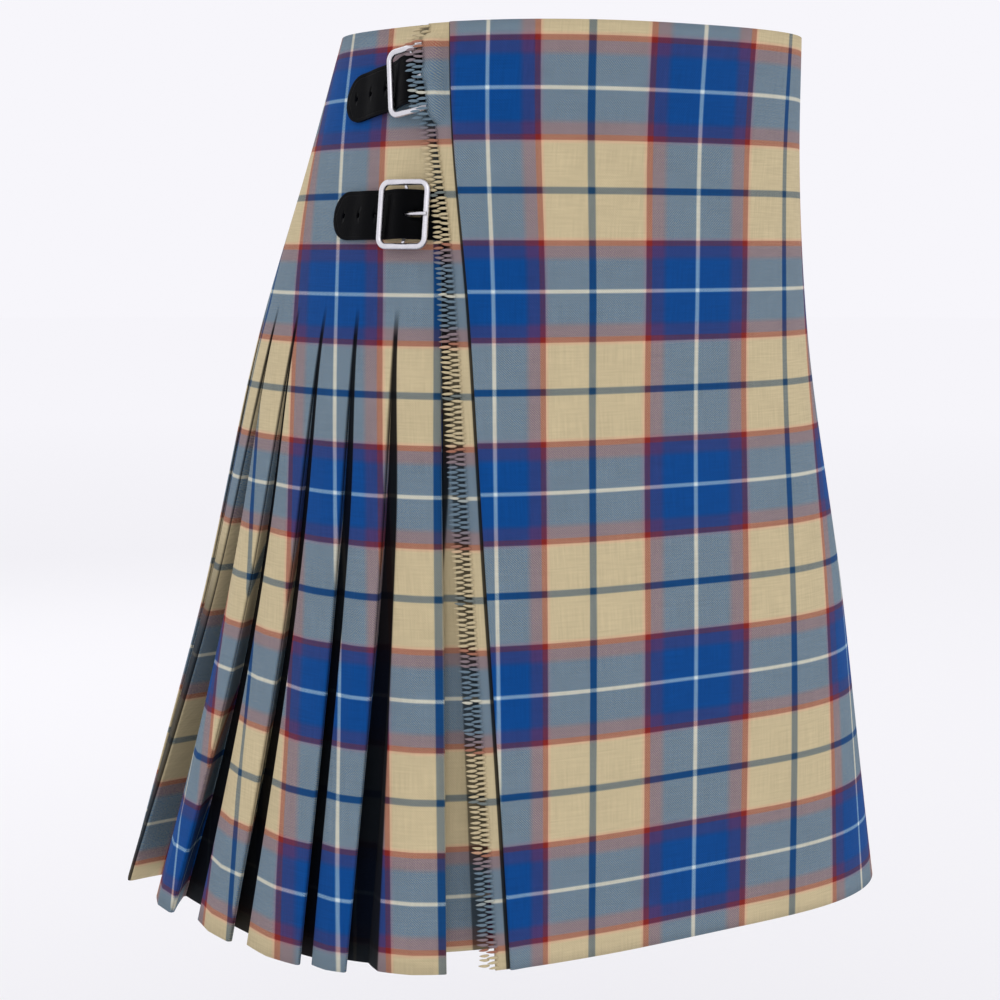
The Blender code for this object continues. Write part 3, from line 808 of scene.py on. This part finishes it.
def back_level(arc, drop):
    """Outer face of the pleated back: low beside the fringe, level with the form further round."""
    share = smooth((edge_at(FIRST_FOLD, drop) - arc) / LEVEL_RAMP)
    return UNDER_LEVEL * (1.0 - share) * (1.0 - 0.75 * opening(drop))


def gap_at(k, pitch):
    """Width of the open gap after a pleat."""
    return SPREAD_GAP[k] if k < len(SPREAD_GAP) else HIDDEN_GAP_SHARE * pitch


def depth_at(k):
    """Depth of the open gap after a pleat."""
    return SPREAD_DEPTH[k] if k < len(SPREAD_DEPTH) else HIDDEN_DEPTH


def pleat_corners(drop):
    """Corners of one level section, from the first fold to the left seam.

    Each is its arc, its level, its pleat and how dark it is there: 1 on a face, 0 in a fold."""
    folds = fold_arcs(drop)
    opened = opening(drop)
    amount = smooth(opened / 0.9) * 0.4 + opened * 0.6
    gap_open = opened**0.75
    step = FOLD_STEP * (0.3 + 0.7 * smooth(opened / 0.35))
    corners = []

    def put(plain_arc, folded_arc, folded_level, pleat, light):
        arc = plain_arc + (folded_arc - plain_arc) * amount
        base = back_level(arc, drop) - CLOTH / 2
        corners.append((arc, base + folded_level * amount, pleat, light))

    first = folds[0]
    put(first + FOLD_LIP, first + 0.0002, -FOLD_STEP, 0, 0.5)
    put(first, first, 0.0, 0, 1.0)
    for k in range(PLEATS):
        fold, after = folds[k], folds[k + 1]
        if k == PLEATS - 1:
            put((fold + after) / 2, (fold + after) / 2, -0.0005, k, 1.0)
            put(after, after, 0.0, k, 1.0)
            break
        gap = gap_at(k, fold - after) * (gap_open if k < len(SPREAD_GAP) else opened)
        depth = depth_at(k)
        tuck = TUCK_SHARE * (after - folds[k + 2])
        shoulder = after + max(gap, 0.0030)
        row = after + step * np.arange(6)
        middle = (shoulder + fold) / 2
        put((row[5] + fold) / 2, middle, -0.05 * depth, k, 1.0)
        put(row[5], shoulder, -0.30 * depth, k, 0.95)
        put(row[5] - 0.3 * step, shoulder - 0.0011, -0.36 * depth, k, 0.05)
        put(row[4], after + 0.40 * gap, -0.95 * depth, k, 0.0)
        put(row[3], after - tuck, -depth, k, 0.0)
        put(row[2], after - tuck, -depth + FOLD_STEP, k + 1, 0.0)
        put(row[1], after + 0.0002, -FOLD_STEP, k + 1, 0.10)
        put(row[0], after, 0.0, k + 1, 1.0)
    return np.array(corners)


def rounded(corners):
    """The section with each corner rounded off, and the long faces given points between."""
    ahead = corners[1:] - corners[:-1]
    length = np.hypot(ahead[:, 0], ahead[:, 1])
    trim = np.minimum(FOLD_ROUNDING / np.maximum(length, 1e-9), 0.42)
    made = [corners[0]]
    for i in range(1, len(corners) - 1):
        before = corners[i] - ahead[i - 1] * trim[i - 1]
        after = corners[i] + ahead[i] * trim[i]
        start = corners[i - 1] + ahead[i - 1] * (trim[i - 1] if i > 1 else 0.0)
        for share in (0.33, 0.67):
            made.append(start + (before - start) * share)
        for share in (0.0, 0.33, 0.67, 1.0):
            bend = corners[i] * 2 * share * (1 - share)
            made.append(before * (1 - share) ** 2 + bend + after * share**2)
    made.append(corners[-1])
    return np.array(made)


def glued_across(section):
    """The arc at the fell that carries the same stripe as each point of the section.

    The cloth's own distance from each fold carries the pattern, so its lines follow the pleats."""
    pleat = np.clip(np.round(section[:, 2]).astype(int), 0, PLEATS - 1)
    step = np.hypot(np.diff(section[:, 0]), np.diff(section[:, 1]))
    along = np.concatenate([[0.0], np.cumsum(step)])
    fold_point = FIRST_FOLD_POINT + POINTS_PER_CORNER * CORNERS_PER_PLEAT * np.arange(PLEATS)
    on_fold = (along[fold_point] + along[fold_point + 1]) / 2
    return fold_arcs(FELL)[pleat] - (along - on_fold[pleat])


def stitched_across(arcs, drop):
    """The place across the tartan above the fell: as charted at the side, and further round
    following the stitched pleats as they narrow to the waist."""
    fell_folds = fold_arcs(FELL)
    carried = np.interp(arcs, fold_arcs(drop)[::-1], fell_folds[::-1])
    first, last = FOLLOWS_PLEATS
    far = smooth((fell_folds[first] - carried) / (fell_folds[first] - fell_folds[last]))
    return side_sett(arcs, drop) * (1.0 - far) + side_sett(carried, FELL) * far


def pleat_row(drop):
    """One row of the pleats, from the left seam to the first fold."""
    section = rounded(pleat_corners(drop))[::-1]
    arcs = section[:, 0]
    pleat = np.round(section[:, 2]).astype(int)
    if drop > FELL:
        glued = side_sett(glued_across(section[::-1])[::-1], FELL)
        across = np.where(pleat < len(SPREAD_PITCH), side_sett(arcs, drop), glued)
    else:
        across = stitched_across(arcs, drop)
    dark = smooth(opening(drop) / 0.04)
    shade = 1.0 - dark * (1.0 - (0.03 + 0.97 * smooth(section[:, 3])))
    shade = shade * (1.0 - 0.72 * under_fringe(arcs, drop))
    turned_away = 1.0 - 0.9 * smooth((drop - 0.52) / 0.20)
    shade = np.where(pleat == SHADED_PLEAT, shade * turned_away, shade)
    points, cloth, sett, _ = cloth_row(arcs, drop, section[:, 1], across, SIDE_LOWERED, 1.0)
    return points, cloth, sett, shade


def make_pleated_back(tartan):
    above = np.linspace(0.0, FELL, ROWS_ABOVE_FELL)
    below = FELL + (1.0 - FELL) * np.linspace(0.0, 1.0, ROWS_BELOW_FELL)[1:] ** 1.15
    rows = [pleat_row(drop) for drop in np.concatenate([above, below])]
    back = make_cloth("pleated_back", rows, tartan)


# ---- Fringe ----


def yarn(path, radii):
    """Rings of a flattened yarn along a path given as (point, out, up) frames."""
    rings = []
    turns = np.radians(np.arange(0.0, 360.0, 360.0 / YARN_SIDES))
    for (point, out, up), radius in zip(path, radii):
        ring_points = [
            point + up * (math.sin(turn) * radius) + out * (math.cos(turn) * radius * YARN_SQUASH)
            for turn in turns
        ]
        rings.append(ring_points)
    return rings


def add_yarn(mesh, layers, rings, lengths, sett_down, shades):
    """Adds a yarn's skin with closed ends to the mesh."""
    cloth_layer, sett_layer, shade_layer = layers
    grid = []
    for ring_points, shade in zip(rings, shades):
        made = [mesh.verts.new(point) for point in ring_points]
        for vert in made:
            vert[shade_layer] = shade
        grid.append(made)
    end_spots = [(0, side) for side in range(YARN_SIDES)]
    faces = []
    for level, (first, second) in enumerate(zip(grid, grid[1:])):
        for side in range(YARN_SIDES):
            after = (side + 1) % YARN_SIDES
            face = mesh.faces.new((first[side], first[after], second[after], second[side]))
            spots = ((level, side), (level, side + 1), (level + 1, side + 1), (level + 1, side))
            faces.append((face, spots))
    faces.append((mesh.faces.new(grid[0][::-1]), end_spots))
    faces.append((mesh.faces.new(grid[-1]), end_spots))
    for face, spots in faces:
        face.smooth = True
        for loop, (level, side) in zip(face.loops, spots):
            loop[cloth_layer].uv = (lengths[level], side * YARN_SIDE_STEP)
            loop[sett_layer].uv = (0.0, sett_down)


def make_fringe(wool):
    """Two staggered rows of yarn: ends of the weft outside, and whipped loops on the strip's edge."""
    random = np.random.default_rng(7)
    mesh = bmesh.new()
    layers = (
        mesh.loops.layers.uv.new("cloth"),
        mesh.loops.layers.uv.new("sett"),
        mesh.verts.layers.float.new("shade"),
    )
    count = int(LENGTH / YARN_PITCH)
    # Each column: where it starts and ends as shares of the fringe's width, the height over the
    # strip, and its shift down in yarn pitches.
    columns = ((-0.04, 0.56, 0.0009, 0.0), (0.44, 1.0, 0.0004, 0.5))
    for first, last, height, shift in columns:
        for k in range(count):
            down = (k + 0.5 + shift) * YARN_PITCH + random.uniform(-0.0003, 0.0003)
            reach = last + random.uniform(-0.06, 0.06)
            lean = random.uniform(-0.0008, 0.0008)
            if down > LENGTH - 0.001 or (shift and abs(down - PRONG_DOWN) < YARN_PITCH / 2):
                continue
            path = []
            stations = np.linspace(0.0, 1.0, 7)
            for share in stations:
                drop = min((down + lean * share**2) / LENGTH, 1.0)
                width = fringe_to(drop) - fringe_from(drop)
                beyond = fringe_from(drop) + (first + (reach - first) * share) * width
                arc = edge_at(APRON_EDGE, drop) - beyond
                level = STRIP_LEVEL + height + 0.0006 * math.sin(math.pi * share)
                level += over_buckle(arc, down)
                on = skin([arc, arc - 0.001], drop, level)
                off = skin([arc], drop, level + 0.001)
                out = (off[0] - on[0]) / np.linalg.norm(off[0] - on[0])
                path.append((on[0], out, np.array([0.0, 0.0, 1.0])))
            size = YARN_RADIUS * random.uniform(0.92, 1.08)
            radii = size * np.array([0.40, 0.85, 1.0, 1.0, 0.9, 0.65, 0.2])
            lengths = stations * (reach - first) * FRINGE_REACH
            place = down_sett(down / LENGTH, SIDE_LOWERED) + random.uniform(-0.01, 0.01)
            shades = np.array([0.9, 1.0, 1.0, 1.0, 1.0, 0.95, 0.9])
            add_yarn(mesh, layers, yarn(path, radii), lengths, place, shades)
    data = bpy.data.meshes.new("fringe_yarns")
    bmesh.ops.recalc_face_normals(mesh, faces=mesh.faces)
    mesh.to_mesh(data)
    mesh.free()
    data.materials.append(wool)
    fringe = add_object("fringe_yarns", data)
    finish_piece(fringe, "fringe")
    return fringe


# ---- Fastenings ----


def panel_level(fastening, arc, drop):
    """Level of the cloth that a fastening is sewn to: the outer apron on the left."""
    return 0.0 if fastening["side"] < 0 else float(back_level(arc, drop))


def panel_point(fastening, along, up):
    """A point of the cloth by the buckle: along the strap and up the kilt."""
    tilt = math.radians(fastening["tilt"])
    right = along * math.cos(tilt) - up * math.sin(tilt)
    above = along * math.sin(tilt) + up * math.cos(tilt)
    arc = fastening["arc"] + fastening["side"] * right
    drop = (fastening["depth"] - above) / LENGTH
    return Vector(skin([arc], drop, panel_level(fastening, arc, drop))[0])


def panel_normal(fastening, along, up):
    step = 0.003
    x = panel_point(fastening, along + step, up) - panel_point(fastening, along - step, up)
    y = panel_point(fastening, along, up + step) - panel_point(fastening, along, up - step)
    return x.cross(y).normalized() * fastening["side"]


def on_panel(fastening, along, up, height):
    """A point at a height square to the cloth by the buckle."""
    return panel_point(fastening, along, up) + panel_normal(fastening, along, up) * height


def placed(origin, x, z):
    """A matrix with its x axis along x and its z axis as near to z as that allows."""
    x = x.normalized()
    y = z.cross(x).normalized()
    z = x.cross(y)
    return Matrix.Translation(origin) @ Matrix((x, y, z)).transposed().to_4x4()


def buckle_frame(fastening):
    """The rigid frame of a buckle: x along the strap and z out from the cloth."""
    origin = panel_point(fastening, 0.0, 0.0)
    ahead = panel_point(fastening, 0.004, 0.0) - panel_point(fastening, -0.004, 0.0)
    return placed(origin, ahead, panel_normal(fastening, 0.0, 0.0))


def make_leather_strip(name, rows, edge_distances, thickness, leather):
    """Leather through rows of points, with rounded edges. Its map holds the distance from the edge."""
    points = np.array(rows)
    data, corners = grid_mesh(name, points, leather)
    steps = np.linalg.norm(np.diff(points[:, points.shape[1] // 2], axis=0), axis=1)
    along = np.concatenate([[0.0], np.cumsum(steps)])
    along = np.broadcast_to(along[:, None], points.shape[:2])
    add_uv(data, "leather", np.dstack([along, np.array(edge_distances)]), corners)
    obj = add_object(name, data)
    add_wall(obj, thickness)
    edge = obj.modifiers.new("edge", "BEVEL")
    edge.width = thickness * 0.25
    edge.segments = 2
    edge.limit_method = "ANGLE"
    edge.angle_limit = math.radians(50.0)
    return obj


def drill(obj, fastening, along, height, radius, name, stretch=1.0):
    """Cuts a round or slotted hole through a strap."""
    bpy.ops.mesh.primitive_cylinder_add(vertices=24, radius=radius, depth=0.008)
    cutter = bpy.context.object
    cutter.name = name
    origin = on_panel(fastening, along, 0.0, height)
    ahead = on_panel(fastening, along + 0.002, 0.0, height) - origin
    place = placed(origin, ahead, panel_normal(fastening, along, 0.0))
    cutter.data.transform(Matrix.Diagonal((stretch, 1.0, 1.0, 1.0)))
    cutter.data.transform(place)
    cut = obj.modifiers.new("hole", "BOOLEAN")
    cut.operation = "DIFFERENCE"
    cut.solver = "EXACT"
    cut.object = cutter
    return cutter


def bake_modifiers(obj):
    """The piece's mesh with its modifiers applied."""
    bpy.context.view_layer.update()
    evaluated = obj.evaluated_get(bpy.context.evaluated_depsgraph_get())
    data = bpy.data.meshes.new_from_object(evaluated)
    obj.modifiers.clear()
    obj.data = data


def strap_half_width(along):
    """Half the strap's width, rounded off in a half circle at the tip."""
    radius = STRAP_WIDTH / 2
    past = STRAP_TIP - radius + along
    if past >= 0.0:
        return radius
    return math.sqrt(max(radius**2 - past**2, 0.0))


def make_strap(fastening, leather):
    name = fastening["name"]
    rise = STRAP_RISE + (LEFT_ROOT if fastening["side"] < 0 else RIGHT_ROOT)
    places = [along for along, _ in rise]
    heights = [height for _, height in rise]
    radius = STRAP_WIDTH / 2
    tip = [radius * (1.0 - math.cos(math.radians(turn))) - STRAP_TIP for turn in range(10, 91, 8)]
    stations = tip + list(np.arange(tip[-1] + 0.002, places[-1], 0.002))
    rows = []
    edge_distances = []
    for along in stations:
        half = strap_half_width(along)
        # The rise is eased over a few millimetres, so that the leather bends in smooth curves.
        near = along + np.array([-0.003, -0.0015, 0.0, 0.0015, 0.003])
        height = float(np.interp(near, places, heights).mean())
        across = np.array([1.0, 0.94, 0.8, 0.4, 0.0, -0.4, -0.8, -0.94, -1.0]) * half
        ups = across * fastening["side"]
        rows.append([on_panel(fastening, along, up, height) for up in ups])
        to_tip = radius + min(STRAP_TIP - radius + along, 0.0)
        edge_distances.append(
            [min(half - abs(up), max(to_tip - abs(up) * 0.5, 0.0)) for up in across]
        )
    whole_name = f"strap_{name}_leather"
    strap = make_leather_strip(whole_name, rows, edge_distances, STRAP_THICKNESS, leather)
    cutters = []
    for hole in range(3):
        along = -0.0300 - HOLE_PITCH * (hole - 0.15)
        height = float(np.interp(along, places, heights))
        cutters.append(drill(strap, fastening, along, height, HOLE_RADIUS, f"hole_{name}_{hole}"))
    cutters.append(drill(strap, fastening, 0.0085, 0.0080, 0.0020, f"prong_hole_{name}", 3.6))
    bake_modifiers(strap)
    for cutter in cutters:
        bpy.data.objects.remove(cutter, do_unlink=True)
    finish_piece(strap, f"strap_{name}")


def tube(name, points, radius, material, closed=False):
    """A round wire through points, as a mesh."""
    data = bpy.data.curves.new(name, "CURVE")
    data.dimensions = "3D"
    data.bevel_depth = radius
    data.bevel_resolution = 5
    data.use_fill_caps = not closed
    spline = data.splines.new("POLY")
    spline.points.add(len(points) - 1)
    for spot, point in zip(spline.points, points):
        spot.co = (*point, 1.0)
    spline.use_cyclic_u = closed
    curve = add_object(name + "_line", data)
    bpy.context.view_layer.update()
    evaluated = curve.evaluated_get(bpy.context.evaluated_depsgraph_get())
    mesh_data = bpy.data.meshes.new_from_object(evaluated)
    bpy.data.objects.remove(curve, do_unlink=True)
    mesh_data.materials.clear()
    mesh_data.materials.append(material)
    mesh = bmesh.new()
    mesh.from_mesh(mesh_data)
    bmesh.ops.remove_doubles(mesh, verts=mesh.verts, dist=1e-6)
    mesh.to_mesh(mesh_data)
    mesh.free()
    return add_object(name, mesh_data)


def rounded_rectangle(width, height, corner):
    """Points of a rectangle with round corners, centred on the origin."""
    points = []
    for quarter, (sx, sy) in enumerate(((1, 1), (-1, 1), (-1, -1), (1, -1))):
        centre_x = sx * (width / 2 - corner)
        centre_y = sy * (height / 2 - corner)
        for step in range(CORNER_STEPS + 1):
            turn = math.radians(90 * quarter + 90 * step / CORNER_STEPS)
            points.append((centre_x + corner * math.cos(turn), centre_y + corner * math.sin(turn)))
    return points


def join(first, others):
    """The others' faces are added to the first, and the others removed."""
    mesh = bmesh.new()
    mesh.from_mesh(first.data)
    for other in others:
        mesh.from_mesh(other.data)
        bpy.data.objects.remove(other, do_unlink=True)
    mesh.to_mesh(first.data)
    mesh.free()
    return first


def make_buckle(fastening, metal):
    name = fastening["name"]
    outline = rounded_rectangle(
        BUCKLE_WIDTH - 2 * WIRE_RADIUS, BUCKLE_HEIGHT - 2 * WIRE_RADIUS, BUCKLE_CORNER - WIRE_RADIUS
    )
    points = [(x, y, FRAME_HEIGHT) for x, y in outline]
    buckle = tube(f"buckle_{name}_metal", points, WIRE_RADIUS, metal, closed=True)
    reach = BUCKLE_HEIGHT / 2 - WIRE_RADIUS
    ends = [
        (0.0, -reach, FRAME_HEIGHT - 0.0006),
        (0.0, -reach + 0.0040, BAR_HEIGHT),
        (0.0, reach - 0.0040, BAR_HEIGHT),
        (0.0, reach, FRAME_HEIGHT - 0.0006),
    ]
    buckle = join(buckle, [tube(f"bar_{name}", ends, BAR_RADIUS, metal)])
    buckle.data.transform(buckle_frame(fastening))
    finish_piece(buckle, f"buckle_{name}")


def make_prong(fastening, metal):
    """A wire looped round the middle bar, through the strap and on to the frame."""
    points = []
    for turn in range(-20, -281, -12):
        angle = math.radians(turn)
        points.append(
            (PRONG_LOOP * math.cos(angle), 0.0, BAR_HEIGHT + PRONG_LOOP * math.sin(angle))
        )
    rest = FRAME_HEIGHT + WIRE_RADIUS + PRONG_RADIUS
    tip = BUCKLE_WIDTH / 2 - WIRE_RADIUS
    points += [
        (0.0030, 0.0, BAR_HEIGHT + PRONG_LOOP + 0.0002),
        (0.0050, 0.0, BAR_HEIGHT + PRONG_LOOP + 0.0008),
        (0.0080, 0.0, rest - 0.0018),
        (0.0110, 0.0, rest - 0.0008),
        (0.0140, 0.0, rest - 0.0001),
        (tip, 0.0, rest + 0.0001),
        (tip + 0.0012, 0.0, rest),
        (tip + 0.0022, 0.0, rest - 0.0003),
    ]
    prong = tube(f"prong_{fastening['name']}_metal", points, PRONG_RADIUS, metal)
    prong.data.transform(buckle_frame(fastening))
    finish_piece(prong, f"prong_{fastening['name']}")


def make_tab(fastening, leather):
    """Leather sewn to the cloth and wrapped round the middle bar, open where the prong passes."""
    path = [(-TAB_LENGTH, 0.0009), (-0.0280, 0.0009), (-0.0220, 0.0009), (-0.0170, 0.0009)]
    path += [(-0.0120, 0.0010), (-0.0085, 0.0012), (-0.0055, 0.0014)]
    for turn in range(-110, 121, 15):
        angle = math.radians(turn)
        path.append((TAB_LOOP * math.cos(angle), BAR_HEIGHT + TAB_LOOP * math.sin(angle)))
    path += [(-0.0050, 0.0047), (-0.0085, 0.0027)]
    place = buckle_frame(fastening)
    halves = []
    for way in (1, -1):
        outer = TAB_WIDTH / 2 * way
        inner = TAB_SPLIT * way
        rows = []
        edges = []
        for along, height in path:
            sewn = along < TAB_SPLIT_FROM
            ups = np.linspace(outer, 0.0 if sewn else inner, 6)
            if way < 0:
                ups = ups[::-1]
            if sewn:
                side_ups = ups * fastening["side"]
                rows.append([on_panel(fastening, along, up, height) for up in side_ups])
            else:
                rows.append([place @ Vector((along, up, height)) for up in ups])
            edges.append([TAB_WIDTH / 2 - abs(up) for up in ups])
        name = f"tab_{fastening['name']}_leather" + ("" if way > 0 else "_low")
        half = make_leather_strip(name, rows, edges, TAB_THICKNESS, leather)
        bake_modifiers(half)
        halves.append(half)
    tab = join(halves[0], halves[1:])
    finish_piece(tab, f"tab_{fastening['name']}")


def make_stitches(fastening, thread):
    """Two rows of short stitches that hold each tab to the cloth."""
    made = []
    name = fastening["name"]
    for row, along in enumerate(STITCH_ROWS):
        for k in range(STITCHES_PER_ROW):
            up = STITCH_PITCH * (k - (STITCHES_PER_ROW - 1) / 2)
            ends = [(along, up - 0.0008, 0.0014), (along, up, 0.0019), (along, up + 0.0008, 0.0014)]
            points = [on_panel(fastening, a, b, c) for a, b, c in ends]
            made.append(tube(f"stitch_{name}_{row}_{k}", points, STITCH_RADIUS, thread))
    stitches = join(made[0], made[1:])
    stitches.name = f"stitches_{name}"
    stitches.data.shade_smooth()
    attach(stitches, BODY)


# ---- Stage ----


def make_floor():
    """A plain pale floor, a little paler far off, so that no horizon line shows."""
    bpy.ops.mesh.primitive_circle_add(
        vertices=96, radius=30.0, fill_type="NGON", location=(0, 0, FLOOR_HEIGHT)
    )
    floor = bpy.context.object
    floor.name = "floor"
    nodes = Nodes("floor_paint")
    place = nodes.place()
    distance = nodes.add("ShaderNodeVectorMath", place, operation="LENGTH").outputs["Value"]
    far = nodes.stretch(distance, 1.0, 11.0, 0.0, 1.0)
    far = nodes.math("POWER", far, 0.6)
    colour = nodes.mix(far, (0.865, 0.865, 0.865, 1.0), (0.99, 0.99, 0.99, 1.0))
    floor.data.materials.append(nodes.finish(colour, 1.0, Specular_IOR_Level=0.0))


def add_area_light(name, place, size, power, colour):
    data = bpy.data.lights.new(name, "AREA")
    data.size = size
    data.energy = power
    data.color = colour
    light = add_object(name, data)
    light.location = place
    aim = Vector((0.0, 0.0, -0.3)) - Vector(place)
    light.rotation_euler = aim.to_track_quat("-Z", "Y").to_euler()


def make_light():
    world = bpy.data.worlds.new("studio")
    world.use_nodes = True
    background = world.node_tree.nodes["Background"]
    background.inputs["Color"].default_value = (0.93, 0.92, 0.965, 1.0)
    background.inputs["Strength"].default_value = 1.0
    bpy.context.scene.world = world
    add_area_light("key", (-2.6, -3.4, 2.2), 2.6, 20.0, (1.0, 0.99, 0.97))
    add_area_light("fill", (3.4, -2.0, 1.0), 3.0, 10.0, (0.97, 0.98, 1.0))
    add_area_light("back", (0.5, 3.8, 1.8), 3.0, 14.0, (1.0, 1.0, 1.0))
    bpy.context.scene.view_settings.view_transform = "Standard"


def make_camera():
    back = Vector((math.sin(VIEW_TURN), -math.cos(VIEW_TURN), 0.0))
    right = Vector((math.cos(VIEW_TURN), math.sin(VIEW_TURN), 0.0))
    level = right * math.sin(CAMERA_PAN) - back * math.cos(CAMERA_PAN)
    ahead = level * math.cos(CAMERA_DOWN) - Vector((0.0, 0.0, math.sin(CAMERA_DOWN)))
    data = bpy.data.cameras.new("camera")
    data.lens = CAMERA_LENS
    data.sensor_width = 36.0
    camera = add_object("camera", data)
    camera.location = back * CAMERA_DISTANCE + Vector((0.0, 0.0, CAMERA_HEIGHT))
    camera.rotation_euler = ahead.to_track_quat("-Z", "Y").to_euler()
    bpy.context.scene.camera = camera


def main():
    make_camera()
    tartan = make_tartan()
    make_outer_apron(tartan)
    strip, (strip_flat, strip_area) = make_fringe_strip(tartan)
    fringe = make_fringe(make_fringe_wool())
    make_under_apron(tartan)
    make_pleated_back(tartan)
    leather = make_leather()
    metal = make_metal()
    thread = make_thread()
    for fastening in FASTENINGS:
        make_strap(fastening, leather)
        make_buckle(fastening, metal)
        make_prong(fastening, metal)
        make_tab(fastening, leather)
        make_stitches(fastening, thread)
    make_floor()
    make_light()


main()
